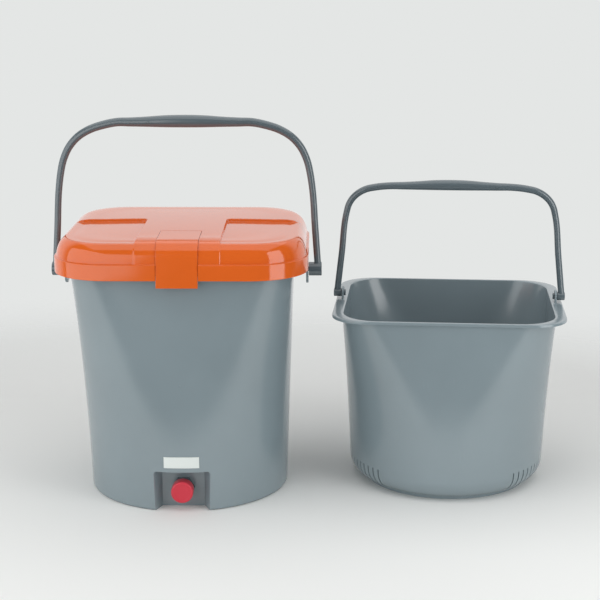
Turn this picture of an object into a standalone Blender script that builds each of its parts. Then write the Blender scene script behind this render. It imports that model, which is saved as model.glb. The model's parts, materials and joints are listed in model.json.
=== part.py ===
"""Organic waste bin: a lidded carrying bin with a drain, and the slotted bucket that lifts out of it.

Metres, +Z up, the front of the bin towards -Y. The origin is the middle of the bin's flat base.
"""
import math

import bmesh
import bpy
from mathutils import Matrix, Vector

# Clearances and cutting
SEAT_GAP = 0.0003
RUNNING_GAP = 0.0004
CUT_OVERRUN = 0.010
WELD_DISTANCE = 0.00001
RING_POINTS = 48
CORNER_CROWDING_SHARE = 0.45

# Bin body: round at the base, a rounded rectangle at the rim
BIN_HEIGHT = 0.300
BIN_BASE_RADIUS = 0.127
BIN_RIM_HALF_WIDTH = 0.1365
BIN_RIM_HALF_DEPTH = 0.130
BIN_RIM_CORNER = 0.053
BIN_CORNER_POWER = 2.15
BIN_WALL = 0.002
BIN_FLOOR = 0.003
BIN_BASE_FILLET = 0.004
BIN_FLANGE_HALF_WIDTH = 0.1515
BIN_FLANGE_HALF_DEPTH = 0.139
BIN_FLANGE_CORNER = 0.069
BIN_FLANGE_THICKNESS = 0.002
WALL_RING_SHARES = (0.16, 0.32, 0.48, 0.64, 0.8)
FILLET_TURN_SHARES = (0.0, 0.35, 0.7, 1.0)

# Ears at the bin's sides, which carry the bail
EAR_OUTER_HALF_SPAN = 0.155
EAR_THICKNESS = 0.003
EAR_HALF_WIDTH = 0.011
EAR_DROP = 0.037
EAR_BOTTOM = BIN_HEIGHT - EAR_DROP
EAR_SHELF_THICKNESS = 0.003
ARC_STEPS = 8

# Alcove in the front of the base, and the drain in it
ALCOVE_FRONT_HALF_WIDTH = 0.034
ALCOVE_BACK_HALF_WIDTH = 0.0263
ALCOVE_BACK_Y = -0.1035
ALCOVE_HEIGHT = 0.0515
ALCOVE_WALL = 0.0025
DRAIN_HEIGHT = 0.025
DRAIN_SIDES = 32
SPOUT_OUTER_RADIUS = 0.0088
SPOUT_BORE_RADIUS = 0.0062
SPOUT_END_Y = -0.1236
SPOUT_COLLAR_RADIUS = 0.0135
SPOUT_COLLAR_THICKNESS = 0.0025
WASHER_THICKNESS = 0.0018
NUT_ACROSS_CORNERS_RADIUS = 0.0142
NUT_THICKNESS = 0.006
CAP_RADIUS = 0.0137
CAP_FACE_RADIUS = 0.0123
CAP_CHAMFER = 0.0014
CAP_LENGTH = 0.0150
CAP_FACE_THICKNESS = 0.0020
CAP_BORE_CLEARANCE = 0.0005
CAP_SEAL_THICKNESS = 0.0012

# Plain label above the alcove
LABEL_HALF_WIDTH = 0.0218
LABEL_LOW = 0.0572
LABEL_HIGH = 0.0714
LABEL_THICKNESS = 0.0006

# Gasket between the lid and the bin's flange
SEAL_INSET = 0.0008
SEAL_WIDTH = 0.0034
SEAL_THICKNESS = 0.0030

# Lid
LID_SIDE_OVERHANG = 0.004
LID_FRONT_OVERHANG = 0.0035
LID_CORNER_GROWTH = 0.0025
LID_DROP = 0.005
LID_BAND_RISE = 0.014
LID_SHOULDER_RISE = 0.027
LID_HALF_WIDTH = BIN_FLANGE_HALF_WIDTH + LID_SIDE_OVERHANG
LID_HALF_DEPTH = BIN_FLANGE_HALF_DEPTH + LID_FRONT_OVERHANG
LID_CORNER = BIN_FLANGE_CORNER + LID_CORNER_GROWTH
LID_BOTTOM = BIN_HEIGHT - LID_DROP
LID_BAND_TOP = BIN_HEIGHT + LID_BAND_RISE
LID_BAND_STEP = 0.0025
LID_BAND_EDGE = 0.0006
LID_SHOULDER_INSET = 0.025
LID_SHOULDER_TOP = LID_BAND_TOP + LID_SHOULDER_RISE
LID_CROWN = 0.0018
LID_SIDE_LEAN_SHARES = (
    (0.0, 0.0), (0.04, 0.22), (0.12, 0.44), (0.25, 0.65), (0.44, 0.82), (0.70, 0.945), (1.0, 1.0),
)
LID_CROWN_SHARES = ((0.25, 0.45), (0.55, 0.8), (0.85, 1.0))
LID_WALL = 0.0022
LID_LEDGE_LOW = BIN_HEIGHT + SEAT_GAP + SEAL_THICKNESS + SEAT_GAP
LID_LEDGE_THICKNESS = 0.002
LID_LEDGE_REACH = 0.0065
PANEL_INNER_EDGE = 0.050
PANEL_BACK_Y = 0.018
PANEL_DROP = 0.0034
PANEL_FRONT_DROP = 0.0010

# Hinge at the back of the lid
HINGE_SETBACK = 0.0075
HINGE_Y = LID_HALF_DEPTH + HINGE_SETBACK
HINGE_HEIGHT = BIN_HEIGHT
HINGE_PIN_RADIUS = 0.0018
HINGE_BARREL_RADIUS = 0.0042
HINGE_BORE_RADIUS = 0.0022
BIN_LUG_INNER_X = 0.022
BIN_LUG_OUTER_X = 0.032
BIN_LUG_DROP = 0.016
BIN_LUG_SHOULDER_DROP = 0.009
BIN_LUG_BOTTOM = HINGE_HEIGHT - BIN_LUG_DROP
BIN_LUG_SHOULDER = HINGE_HEIGHT - BIN_LUG_SHOULDER_DROP
HINGE_PIN_OVERHANG = 0.002
HINGE_SIDES = 24

# Latch at the front of the lid
LATCH_HALF_WIDTH = 0.025
LATCH_THICKNESS = 0.0022
LATCH_PIVOT_SETBACK = 0.0725
LATCH_PIVOT_DROP = 0.0011
LATCH_TOP_RISE = 0.0017
LATCH_BEND_RADIUS = 0.0225
LATCH_BEND_SETBACK = 0.0245
LATCH_BEND_RISE = 0.0007
LATCH_PIVOT_Y = LATCH_PIVOT_SETBACK - LID_HALF_DEPTH
LATCH_PIVOT_HEIGHT = LID_SHOULDER_TOP - LATCH_PIVOT_DROP
LATCH_TOP_HEIGHT = LID_SHOULDER_TOP + LATCH_TOP_RISE
LATCH_BEND_Y = LATCH_BEND_SETBACK - LID_HALF_DEPTH
LATCH_BEND_TOP = LID_SHOULDER_TOP + LATCH_BEND_RISE
LATCH_LEAN_DEGREES = 5.8
LATCH_FOOT_REACH = 0.0083
LATCH_FOOT_HEIGHT = LID_BOTTOM - LATCH_FOOT_REACH
LATCH_BARREL_RADIUS = 0.0027
LATCH_PIN_RADIUS = 0.0012
LATCH_BORE_RADIUS = 0.0015
LATCH_GAP = 0.0004
LATCH_SWING_ROOM = 0.0009
LATCH_LUG_WIDTH = 0.005
LATCH_LUG_RADIUS = 0.0042
LATCH_NOSE_REACH = 0.0047
LATCH_NOSE_TIP_HEIGHT = 0.0032
CATCH_HALF_WIDTH = 0.019
CATCH_RELIEF_DEGREES = 8.0

# Carry bail of the bin
BAIL_PIVOT_DROP = 0.019
BAIL_BOSS_RADIUS = 0.00875
BAIL_BOSS_GAP = 0.0005
BAIL_BOSS_LENGTH = 0.0163
BAIL_FOOT_REACH = 0.0117
BAIL_LEG_RADIUS = 0.0043
BAIL_LEG_LEAN = 0.0075
BAIL_LEG_LENGTH = 0.104
BAIL_BEND_RISE = 0.0825
BAIL_BEND_SHARES = (
    (0.030, 0.194), (0.0885, 0.424), (0.1915, 0.624), (0.346, 0.782), (0.544, 0.891), (0.762, 0.9575),
)
BAIL_BAR_X = 0.084
BAIL_BAR_RADIUS = 0.0054
BAIL_GRIP_RISE = 0.0013
BAIL_PIVOT_HEIGHT = BIN_HEIGHT - BAIL_PIVOT_DROP
BAIL_BOSS_INNER = EAR_OUTER_HALF_SPAN + BAIL_BOSS_GAP
BAIL_BOSS_OUTER = BAIL_BOSS_INNER + BAIL_BOSS_LENGTH
BAIL_LEG_FOOT_X = BAIL_BOSS_INNER + BAIL_FOOT_REACH
BAIL_LEG_TOP_X = BAIL_LEG_FOOT_X - BAIL_LEG_LEAN
BAIL_LEG_TOP_HEIGHT = BAIL_PIVOT_HEIGHT + BAIL_LEG_LENGTH
BAIL_BAR_HEIGHT = BAIL_LEG_TOP_HEIGHT + BAIL_BEND_RISE
BAIL_GRIP_HEIGHT = BAIL_BAR_HEIGHT + BAIL_GRIP_RISE
BAIL_GRIP_RADIUS = 0.0079
BAIL_PIN_RADIUS = 0.003
BAIL_PIN_HEAD_RADIUS = 0.0055
BAIL_PIN_HEAD_THICKNESS = 0.0022
BAIL_PIN_REACH = 0.0105
BAIL_PIN_END_X = BAIL_BOSS_INNER + BAIL_PIN_REACH

# Inner bucket, standing beside the bin
BUCKET_X = 0.3365
BUCKET_Y = 0.027
BUCKET_TURN_DEGREES = -4.36
BUCKET_HEIGHT = 0.2346
BUCKET_BASE_RADIUS = 0.1248
BUCKET_NEST_GAP = 0.0010
BUCKET_RIM_CORNER = 0.0495
BUCKET_WALL = 0.0018
BUCKET_FLANGE_HALF_WIDTH = 0.1457
BUCKET_FLANGE_HALF_DEPTH = 0.1295
BUCKET_FLANGE_CORNER = 0.0450
BUCKET_FLANGE_THICKNESS = 0.0018
BUCKET_LIP = 0.0040
BUCKET_FOOT_RADIUS = 0.106
BUCKET_FOOT_WIDTH = 0.003
BUCKET_FOOT_HEIGHT = 0.0035
BUCKET_FLOOR = 0.0022
BUCKET_FILLET = 0.024
BUCKET_FILLET_START_SHARE = 0.14
SLOT_WIDTH = 0.0018
SLOT_LOW = 0.0080
SLOT_HIGH = 0.0320
SLOT_INNER_RADIUS = 0.109
SLOT_GROUP_COUNT = 4
SLOTS_IN_GROUP = 7
SLOT_GROUP_AZIMUTH_DEGREES = 34.0
SLOT_PITCH_DEGREES = 4.4

# Bail of the inner bucket
BUCKET_EAR_OUTER_HALF_SPAN = 0.1385
BUCKET_EAR_THICKNESS = 0.0025
BUCKET_EAR_HALF_WIDTH = 0.0080
BUCKET_PIVOT_RISE = 0.0074
BUCKET_PIVOT_HEIGHT = BUCKET_HEIGHT + BUCKET_PIVOT_RISE
BUCKET_BAIL_LEG_RADIUS = 0.0041
BUCKET_BAIL_BOSS_RADIUS = 0.0052
BUCKET_BAIL_FOOT_REACH = 0.0064
BUCKET_BAIL_LEG_LEAN = 0.0119
BUCKET_BAIL_LEG_LENGTH = 0.106
BUCKET_BAIL_BEND_RISE = 0.0348
BUCKET_BAIL_BEND_SHARES = ((0.042, 0.259), (0.119, 0.4885), (0.2455, 0.695), (0.421, 0.856), (0.649, 0.9425))
BUCKET_BAIL_BAR_X = 0.076
BUCKET_BAIL_BAR_RADIUS = 0.0046
BUCKET_BAIL_GRIP_RISE = 0.0017
BUCKET_BAIL_FOOT_X = BUCKET_EAR_OUTER_HALF_SPAN + BUCKET_BAIL_FOOT_REACH
BUCKET_BAIL_LEG_TOP_X = BUCKET_BAIL_FOOT_X - BUCKET_BAIL_LEG_LEAN
BUCKET_BAIL_LEG_TOP_HEIGHT = BUCKET_PIVOT_HEIGHT + BUCKET_BAIL_LEG_LENGTH
BUCKET_BAIL_BAR_HEIGHT = BUCKET_BAIL_LEG_TOP_HEIGHT + BUCKET_BAIL_BEND_RISE
BUCKET_BAIL_GRIP_HEIGHT = BUCKET_BAIL_BAR_HEIGHT + BUCKET_BAIL_GRIP_RISE
BUCKET_BAIL_GRIP_RADIUS = 0.0067
BUCKET_PIN_RADIUS = 0.0022
BUCKET_PIN_HEAD_RADIUS = 0.0040
BUCKET_PIN_HEAD_THICKNESS = 0.0020
BUCKET_PIN_REACH = 0.0070
BUCKET_PIN_END_X = BUCKET_EAR_OUTER_HALF_SPAN + BUCKET_PIN_REACH

# Outline of a bail's bar and the count of its sides
BAR_RADIUS_SHARES = ((0.8, 0.15), (0.55, 0.45), (0.3, 0.85))
TUBE_BEVEL_RESOLUTION = 3

# Colours of the plastics, as sRGB
GREY = (0.50, 0.555, 0.58)
DARK_GREY = (0.32, 0.355, 0.37)
ORANGE = (0.88, 0.415, 0.19)
RED = (0.80, 0.22, 0.29)
WHITE = (0.88, 0.905, 0.90)
RUBBER_BLACK = (0.07, 0.07, 0.075)


def clear_scene():
    for thing in list(bpy.data.objects):
        bpy.data.objects.remove(thing, do_unlink=True)


def collection(name):
    group = bpy.data.collections.new(name)
    bpy.context.scene.collection.children.link(group)
    return group


def linear(channel):
    """One sRGB channel as the linear value that a shader takes."""
    if channel <= 0.04045:
        return channel / 12.92
    return ((channel + 0.055) / 1.055) ** 2.4


def finish(name, colour, roughness, metallic=0.0):
    material = bpy.data.materials.new(name)
    material.use_nodes = True
    shader = material.node_tree.nodes["Principled BSDF"]
    shader.inputs["Base Color"].default_value = (*[linear(channel) for channel in colour], 1.0)
    shader.inputs["Roughness"].default_value = roughness
    shader.inputs["Metallic"].default_value = metallic
    return material


# Helpers that make meshes

def add_object(name, mesh, group):
    thing = bpy.data.objects.new(name, mesh)
    group.objects.link(thing)
    return thing


def make_part(thing, material, sharp_degrees=32.0):
    """A piece of the object: its material, and smooth shading up to its sharp edges."""
    thing.data.materials.clear()
    thing.data.materials.append(material)
    thing.data.shade_smooth()
    thing.data.set_sharp_from_angle(angle=math.radians(sharp_degrees))
    return thing


def hide_cutter(thing):
    thing.hide_render = True
    thing.display_type = "WIRE"
    return thing


def boolean(thing, other, operation):
    modifier = thing.modifiers.new(f"{operation.lower()} {other.name}", "BOOLEAN")
    modifier.operation = operation
    modifier.object = other
    modifier.solver = "EXACT"
    return thing


def outline(half_width, half_depth, corner, height):
    """A rounded rectangle around Z, its points at fixed polar angles that crowd at the corners."""
    corner = min(corner, half_width, half_depth)
    inner_width = half_width - corner
    inner_depth = half_depth - corner
    points = []
    for step in range(RING_POINTS):
        even = math.tau * (step + 0.5) / RING_POINTS
        angle = even + CORNER_CROWDING_SHARE * math.sin(4 * even) / 4
        along, across = abs(math.cos(angle)), abs(math.sin(angle))
        if half_width * across <= inner_depth * along:
            reach = half_width / along
        elif half_depth * along <= inner_width * across:
            reach = half_depth / across
        else:
            middle = along * inner_width + across * inner_depth
            reach = middle + math.sqrt(middle ** 2 - inner_width ** 2 - inner_depth ** 2 + corner ** 2)
        points.append(Vector((reach * math.cos(angle), reach * math.sin(angle), height)))
    return points


def loft(name, rings, group, closed=False):
    """A solid through rings of equally many points. An open one is capped, a closed one meets itself."""
    shape = bmesh.new()
    rows = [[shape.verts.new(point) for point in ring] for ring in rings]
    pairs = list(zip(rows[:-1], rows[1:]))
    if closed:
        pairs.append((rows[-1], rows[0]))
    else:
        shape.faces.new(reversed(rows[0]))
        shape.faces.new(rows[-1])
    for low, high in pairs:
        for step in range(RING_POINTS):
            after = (step + 1) % RING_POINTS
            shape.faces.new((low[step], low[after], high[after]))
            shape.faces.new((low[step], high[after], high[step]))
    mesh = bpy.data.meshes.new(name)
    shape.to_mesh(mesh)
    shape.free()
    return add_object(name, mesh, group)


def curve_to_mesh(thing, group):
    """The curve's evaluated mesh with its caps welded on, in place of the curve."""
    bpy.context.view_layer.update()
    evaluated = thing.evaluated_get(bpy.context.evaluated_depsgraph_get())
    mesh = bpy.data.meshes.new_from_object(evaluated)
    shape = bmesh.new()
    shape.from_mesh(mesh)
    bmesh.ops.remove_doubles(shape, verts=shape.verts, dist=WELD_DISTANCE)
    bmesh.ops.recalc_face_normals(shape, faces=shape.faces)
    shape.to_mesh(mesh)
    shape.free()
    name, place = thing.name, thing.matrix_world.copy()
    bpy.data.objects.remove(thing, do_unlink=True)
    made = add_object(name, mesh, group)
    made.matrix_world = place
    return made


# A flat outline is drawn in X and Y. These matrices stand it up with its thickness along X, or along Y.
ACROSS_X = Matrix(((0, 0, 1, 0), (1, 0, 0, 0), (0, 1, 0, 0), (0, 0, 0, 1)))
ACROSS_Y = Matrix(((1, 0, 0, 0), (0, 0, -1, 0), (0, 1, 0, 0), (0, 0, 0, 1)))
FLAT = Matrix.Identity(4)

# Turns that lay a spun shape's own Z along -Y, or along X to the left or the right
QUARTER_TURN = math.radians(90)
TOWARD_FRONT = (QUARTER_TURN, 0, 0)
TOWARD_LEFT = (0, -QUARTER_TURN, 0)
TOWARD_RIGHT = (0, QUARTER_TURN, 0)


def plate(name, points, thickness, group, stand=FLAT, place=(0, 0, 0)):
    """A flat outline with a thickness, its middle plane through its place."""
    curve = bpy.data.curves.new(name, "CURVE")
    curve.dimensions = "2D"
    curve.fill_mode = "BOTH"
    curve.extrude = thickness / 2
    spline = curve.splines.new("POLY")
    spline.points.add(len(points) - 1)
    for spot, (along, up) in zip(spline.points, points):
        spot.co = (along, up, 0, 1)
    spline.use_cyclic_u = True
    thing = bpy.data.objects.new(name, curve)
    group.objects.link(thing)
    thing.matrix_world = Matrix.Translation(place) @ stand
    return curve_to_mesh(thing, group)


def bar(name, low, high, group):
    """A box from its low corner to its high corner."""
    shape = bmesh.new()
    bmesh.ops.create_cube(shape, size=1.0)
    sizes = [top - bottom for bottom, top in zip(low, high)]
    bmesh.ops.scale(shape, vec=sizes, verts=shape.verts)
    bmesh.ops.translate(shape, vec=(Vector(low) + Vector(high)) / 2, verts=shape.verts)
    mesh = bpy.data.meshes.new(name)
    shape.to_mesh(mesh)
    shape.free()
    return add_object(name, mesh, group)


def rod(name, start, end, radius, group, sides=HINGE_SIDES):
    """A cylinder from one point to another."""
    start, end = Vector(start), Vector(end)
    shape = bmesh.new()
    bmesh.ops.create_cone(
        shape, cap_ends=True, segments=sides, radius1=radius, radius2=radius, depth=(end - start).length
    )
    turn = Vector((0, 0, 1)).rotation_difference(end - start).to_matrix().to_4x4()
    bmesh.ops.transform(shape, matrix=Matrix.Translation((start + end) / 2) @ turn, verts=shape.verts)
    mesh = bpy.data.meshes.new(name)
    shape.to_mesh(mesh)
    shape.free()
    return add_object(name, mesh, group)


def turned(name, profile, place, group, turn=TOWARD_FRONT, sides=DRAIN_SIDES):
    """A profile of (radius, reach) spun around an axis through its place.

    A profile that starts and ends on its axis stays open there, and any other is a closed loop.
    """
    count = len(profile)
    on_axis = profile[0][0] == 0 and profile[-1][0] == 0
    edges = [(step, step + 1) for step in range(count - 1)]
    if not on_axis:
        edges.append((count - 1, 0))
    mesh = bpy.data.meshes.new(name)
    mesh.from_pydata([(radius, 0.0, reach) for radius, reach in profile], edges, [])
    thing = add_object(name, mesh, group)
    thing.location = place
    thing.rotation_euler = turn
    screw = thing.modifiers.new("spin", "SCREW")
    screw.axis = "Z"
    screw.steps = sides
    screw.render_steps = sides
    screw.use_merge_vertices = True
    screw.merge_threshold = WELD_DISTANCE
    return thing


def arc(middle, radius, start_degrees, end_degrees, steps=ARC_STEPS):
    """Points along an arc in a flat outline, both ends included."""
    points = []
    for step in range(steps + 1):
        angle = math.radians(start_degrees + (end_degrees - start_degrees) * step / steps)
        points.append((middle[0] + radius * math.cos(angle), middle[1] + radius * math.sin(angle)))
    return points


# Bin body

def bin_section(height, inset):
    """Plan outline of the bin's wall at a height, moved in by the inset."""
    share = height / BIN_HEIGHT
    half_width = BIN_BASE_RADIUS + (BIN_RIM_HALF_WIDTH - BIN_BASE_RADIUS) * share
    half_depth = BIN_BASE_RADIUS + (BIN_RIM_HALF_DEPTH - BIN_BASE_RADIUS) * share
    corner = BIN_BASE_RADIUS + (BIN_RIM_CORNER - BIN_BASE_RADIUS) * share ** BIN_CORNER_POWER
    return outline(half_width - inset, half_depth - inset, corner - inset, height)


def bin_half_width(height):
    return BIN_BASE_RADIUS + (BIN_RIM_HALF_WIDTH - BIN_BASE_RADIUS) * height / BIN_HEIGHT


def bin_half_depth(height):
    return BIN_BASE_RADIUS + (BIN_RIM_HALF_DEPTH - BIN_BASE_RADIUS) * height / BIN_HEIGHT


def bin_outer(name, group, extra=0.0):
    """The bin filled solid, with its flange. Extra skin makes a slightly larger copy."""
    rings = []
    for share in FILLET_TURN_SHARES:
        turn = math.radians(90 * share)
        inset = BIN_BASE_FILLET * (1 - math.sin(turn)) - extra
        rings.append(bin_section(BIN_BASE_FILLET * (1 - math.cos(turn)), inset))
    rings += [bin_section(BIN_HEIGHT * share, -extra) for share in WALL_RING_SHARES]
    under_flange = BIN_HEIGHT - BIN_FLANGE_THICKNESS
    rings.append(bin_section(under_flange, -extra))
    for height in (under_flange, BIN_HEIGHT):
        rings.append(outline(BIN_FLANGE_HALF_WIDTH, BIN_FLANGE_HALF_DEPTH, BIN_FLANGE_CORNER, height))
    return loft(name, rings, group)


def bin_cavity(group):
    """The space inside the bin, open above, less the walls of the alcove."""
    rings = []
    for share in FILLET_TURN_SHARES:
        turn = math.radians(90 * share)
        inset = BIN_WALL + BIN_BASE_FILLET * (1 - math.sin(turn))
        rings.append(bin_section(BIN_FLOOR + BIN_BASE_FILLET * (1 - math.cos(turn)), inset))
    rings += [bin_section(BIN_HEIGHT * share, BIN_WALL) for share in WALL_RING_SHARES]
    rings.append(bin_section(BIN_HEIGHT, BIN_WALL))
    rings.append([point + Vector((0, 0, CUT_OVERRUN)) for point in rings[-1]])
    cavity = hide_cutter(loft("bin_cavity", rings, group))
    walls = alcove_prism("alcove_walls", group, ALCOVE_WALL)
    return boolean(cavity, hide_cutter(walls), "DIFFERENCE")


def alcove_prism(name, group, grow):
    """The alcove's space, wider at the front, with rounded upper corners. It grows by a wall on each side."""
    front_y = -BIN_BASE_RADIUS
    flare = (ALCOVE_FRONT_HALF_WIDTH - ALCOVE_BACK_HALF_WIDTH) / (ALCOVE_BACK_Y - front_y)
    near_y = front_y - CUT_OVERRUN
    far_y = ALCOVE_BACK_Y + grow
    near_half = ALCOVE_BACK_HALF_WIDTH + flare * (ALCOVE_BACK_Y - near_y) + grow
    far_half = ALCOVE_BACK_HALF_WIDTH - flare * grow + grow
    points = [(-near_half, near_y), (near_half, near_y), (far_half, far_y), (-far_half, far_y)]
    top = ALCOVE_HEIGHT + grow
    thickness = top + CUT_OVERRUN
    return plate(name, points, thickness, group, place=(0, 0, top - thickness / 2))


def ear_outline(half_width, bottom, top):
    """A tab in a flat outline: square above, half round below."""
    middle = bottom + half_width
    return [(half_width, top)] + [(-half_width, top)] + arc((0, middle), half_width, 180, 360)


def add_ears(body, group):
    """Ears at both sides hang from a shelf that runs out of the wall, under the lid's edge."""
    shelf_top = LID_BOTTOM - RUNNING_GAP
    wall_middle = bin_half_width(shelf_top) - BIN_WALL / 2
    for side, name in ((-1, "left"), (1, "right")):
        middle_x = side * (EAR_OUTER_HALF_SPAN - EAR_THICKNESS / 2)
        points = ear_outline(EAR_HALF_WIDTH, EAR_BOTTOM, shelf_top)
        ear = plate(f"ear_{name}", points, EAR_THICKNESS, group, ACROSS_X, (middle_x, 0, 0))
        inner, outer = sorted((side * wall_middle, side * (EAR_OUTER_HALF_SPAN - EAR_THICKNESS / 2)))
        shelf = bar(
            f"ear_shelf_{name}",
            (inner, -EAR_HALF_WIDTH, shelf_top - EAR_SHELF_THICKNESS),
            (outer, EAR_HALF_WIDTH, shelf_top),
            group,
        )
        boolean(ear, hide_cutter(shelf), "UNION")
        boolean(body, hide_cutter(ear), "UNION")
    span = EAR_OUTER_HALF_SPAN + CUT_OVERRUN
    hole_radius = BAIL_PIN_RADIUS + RUNNING_GAP
    for side, name in ((-1, "left"), (1, "right")):
        start = side * (EAR_OUTER_HALF_SPAN - EAR_THICKNESS - CUT_OVERRUN / 2)
        hole = rod(
            f"ear_hole_{name}", (start, 0, BAIL_PIVOT_HEIGHT), (side * span, 0, BAIL_PIVOT_HEIGHT), hole_radius, group
        )
        boolean(body, hide_cutter(hole), "DIFFERENCE")


def latch_front_y(inset, height):
    """Where the latch's leaning front lies at a height, moved in from its outer surface."""
    lean = math.radians(LATCH_LEAN_DEGREES)
    reach = LATCH_BEND_RADIUS - inset
    bend_end = LATCH_BEND_TOP - LATCH_BEND_RADIUS + reach * math.sin(lean)
    return LATCH_BEND_Y - reach * math.cos(lean) - (bend_end - height) * math.tan(lean)


def nose_tip():
    """The latch's hooked tip, as (y, height)."""
    height = LATCH_FOOT_HEIGHT + LATCH_NOSE_TIP_HEIGHT
    return Vector((latch_front_y(LATCH_THICKNESS, height) + LATCH_NOSE_REACH, height))


def latch_release():
    """The way the latch's nose leaves the catch: square to its arm, turned up by the relief."""
    arm = nose_tip() - Vector((LATCH_PIVOT_Y, LATCH_PIVOT_HEIGHT))
    away = Vector((arm.y, -arm.x)).normalized()
    return Matrix.Rotation(-math.radians(CATCH_RELIEF_DEGREES), 2) @ away


def add_catch(body, group):
    """The catch under the front of the flange, its front face sloped along the way the nose leaves it."""
    slope = latch_release()
    tip = nose_tip()
    low = tip + Vector((LATCH_GAP + SEAT_GAP, 0))
    front = low + slope * ((-BIN_FLANGE_HALF_DEPTH - low.x) / slope.x)
    top = BIN_HEIGHT - BIN_FLANGE_THICKNESS / 2
    wall_y = -bin_half_depth(low.y) + BIN_WALL / 2
    points = [(low.x, low.y), (wall_y, low.y), (wall_y, top), (front.x, top), (front.x, front.y)]
    catch = plate("latch_catch", points, 2 * CATCH_HALF_WIDTH, group, ACROSS_X)
    boolean(body, hide_cutter(catch), "UNION")


def add_bin_lugs(body, group):
    """Two lugs behind the rim that carry the hinge pin."""
    wall_y = bin_half_depth(BIN_LUG_SHOULDER) - BIN_WALL / 2
    near = HINGE_Y - HINGE_BARREL_RADIUS
    points = [(wall_y, BIN_LUG_BOTTOM), (HINGE_Y, BIN_LUG_BOTTOM + BIN_BASE_FILLET)]
    points += [(HINGE_Y + HINGE_BARREL_RADIUS, HINGE_HEIGHT - HINGE_BARREL_RADIUS)]
    points += arc((HINGE_Y, HINGE_HEIGHT), HINGE_BARREL_RADIUS, 0, 180)
    points += [(near, BIN_LUG_SHOULDER), (wall_y, BIN_LUG_SHOULDER)]
    width = BIN_LUG_OUTER_X - BIN_LUG_INNER_X
    for side, name in ((-1, "left"), (1, "right")):
        middle = side * (BIN_LUG_OUTER_X + BIN_LUG_INNER_X) / 2
        lug = plate(f"hinge_lug_{name}", points, width, group, ACROSS_X, (middle, 0, 0))
        boolean(body, hide_cutter(lug), "UNION")
    reach = BIN_LUG_OUTER_X + CUT_OVERRUN
    bore = rod(
        "hinge_bore", (-reach, HINGE_Y, HINGE_HEIGHT), (reach, HINGE_Y, HINGE_HEIGHT), HINGE_BORE_RADIUS, group
    )
    boolean(body, hide_cutter(bore), "DIFFERENCE")


def make_bin(parts, cutters, grey):
    body = bin_outer("outer_bin", parts)
    boolean(body, hide_cutter(alcove_prism("alcove", cutters, 0.0)), "DIFFERENCE")
    boolean(body, bin_cavity(cutters), "DIFFERENCE")
    add_ears(body, cutters)
    add_catch(body, cutters)
    add_bin_lugs(body, cutters)
    through = ALCOVE_WALL + CUT_OVERRUN
    hole = rod(
        "drain_hole",
        (0, ALCOVE_BACK_Y + through, DRAIN_HEIGHT),
        (0, ALCOVE_BACK_Y - CUT_OVERRUN, DRAIN_HEIGHT),
        SPOUT_OUTER_RADIUS + SEAT_GAP,
        cutters,
        DRAIN_SIDES,
    )
    boolean(body, hide_cutter(hole), "DIFFERENCE")
    return make_part(body, grey)


def make_label(parts, cutters, white):
    """A plain label that follows the wall: a slice between two grown copies of the bin's skin."""
    low = (-LABEL_HALF_WIDTH, -BIN_RIM_HALF_DEPTH - CUT_OVERRUN, LABEL_LOW)
    high = (LABEL_HALF_WIDTH, 0, LABEL_HIGH)
    label = bar("blank_label", low, high, parts)
    face = bin_outer("label_face", cutters, SEAT_GAP + LABEL_THICKNESS)
    back = bin_outer("label_back", cutters, SEAT_GAP)
    boolean(label, hide_cutter(face), "INTERSECT")
    boolean(label, hide_cutter(back), "DIFFERENCE")
    return make_part(label, white)


# Drain

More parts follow.
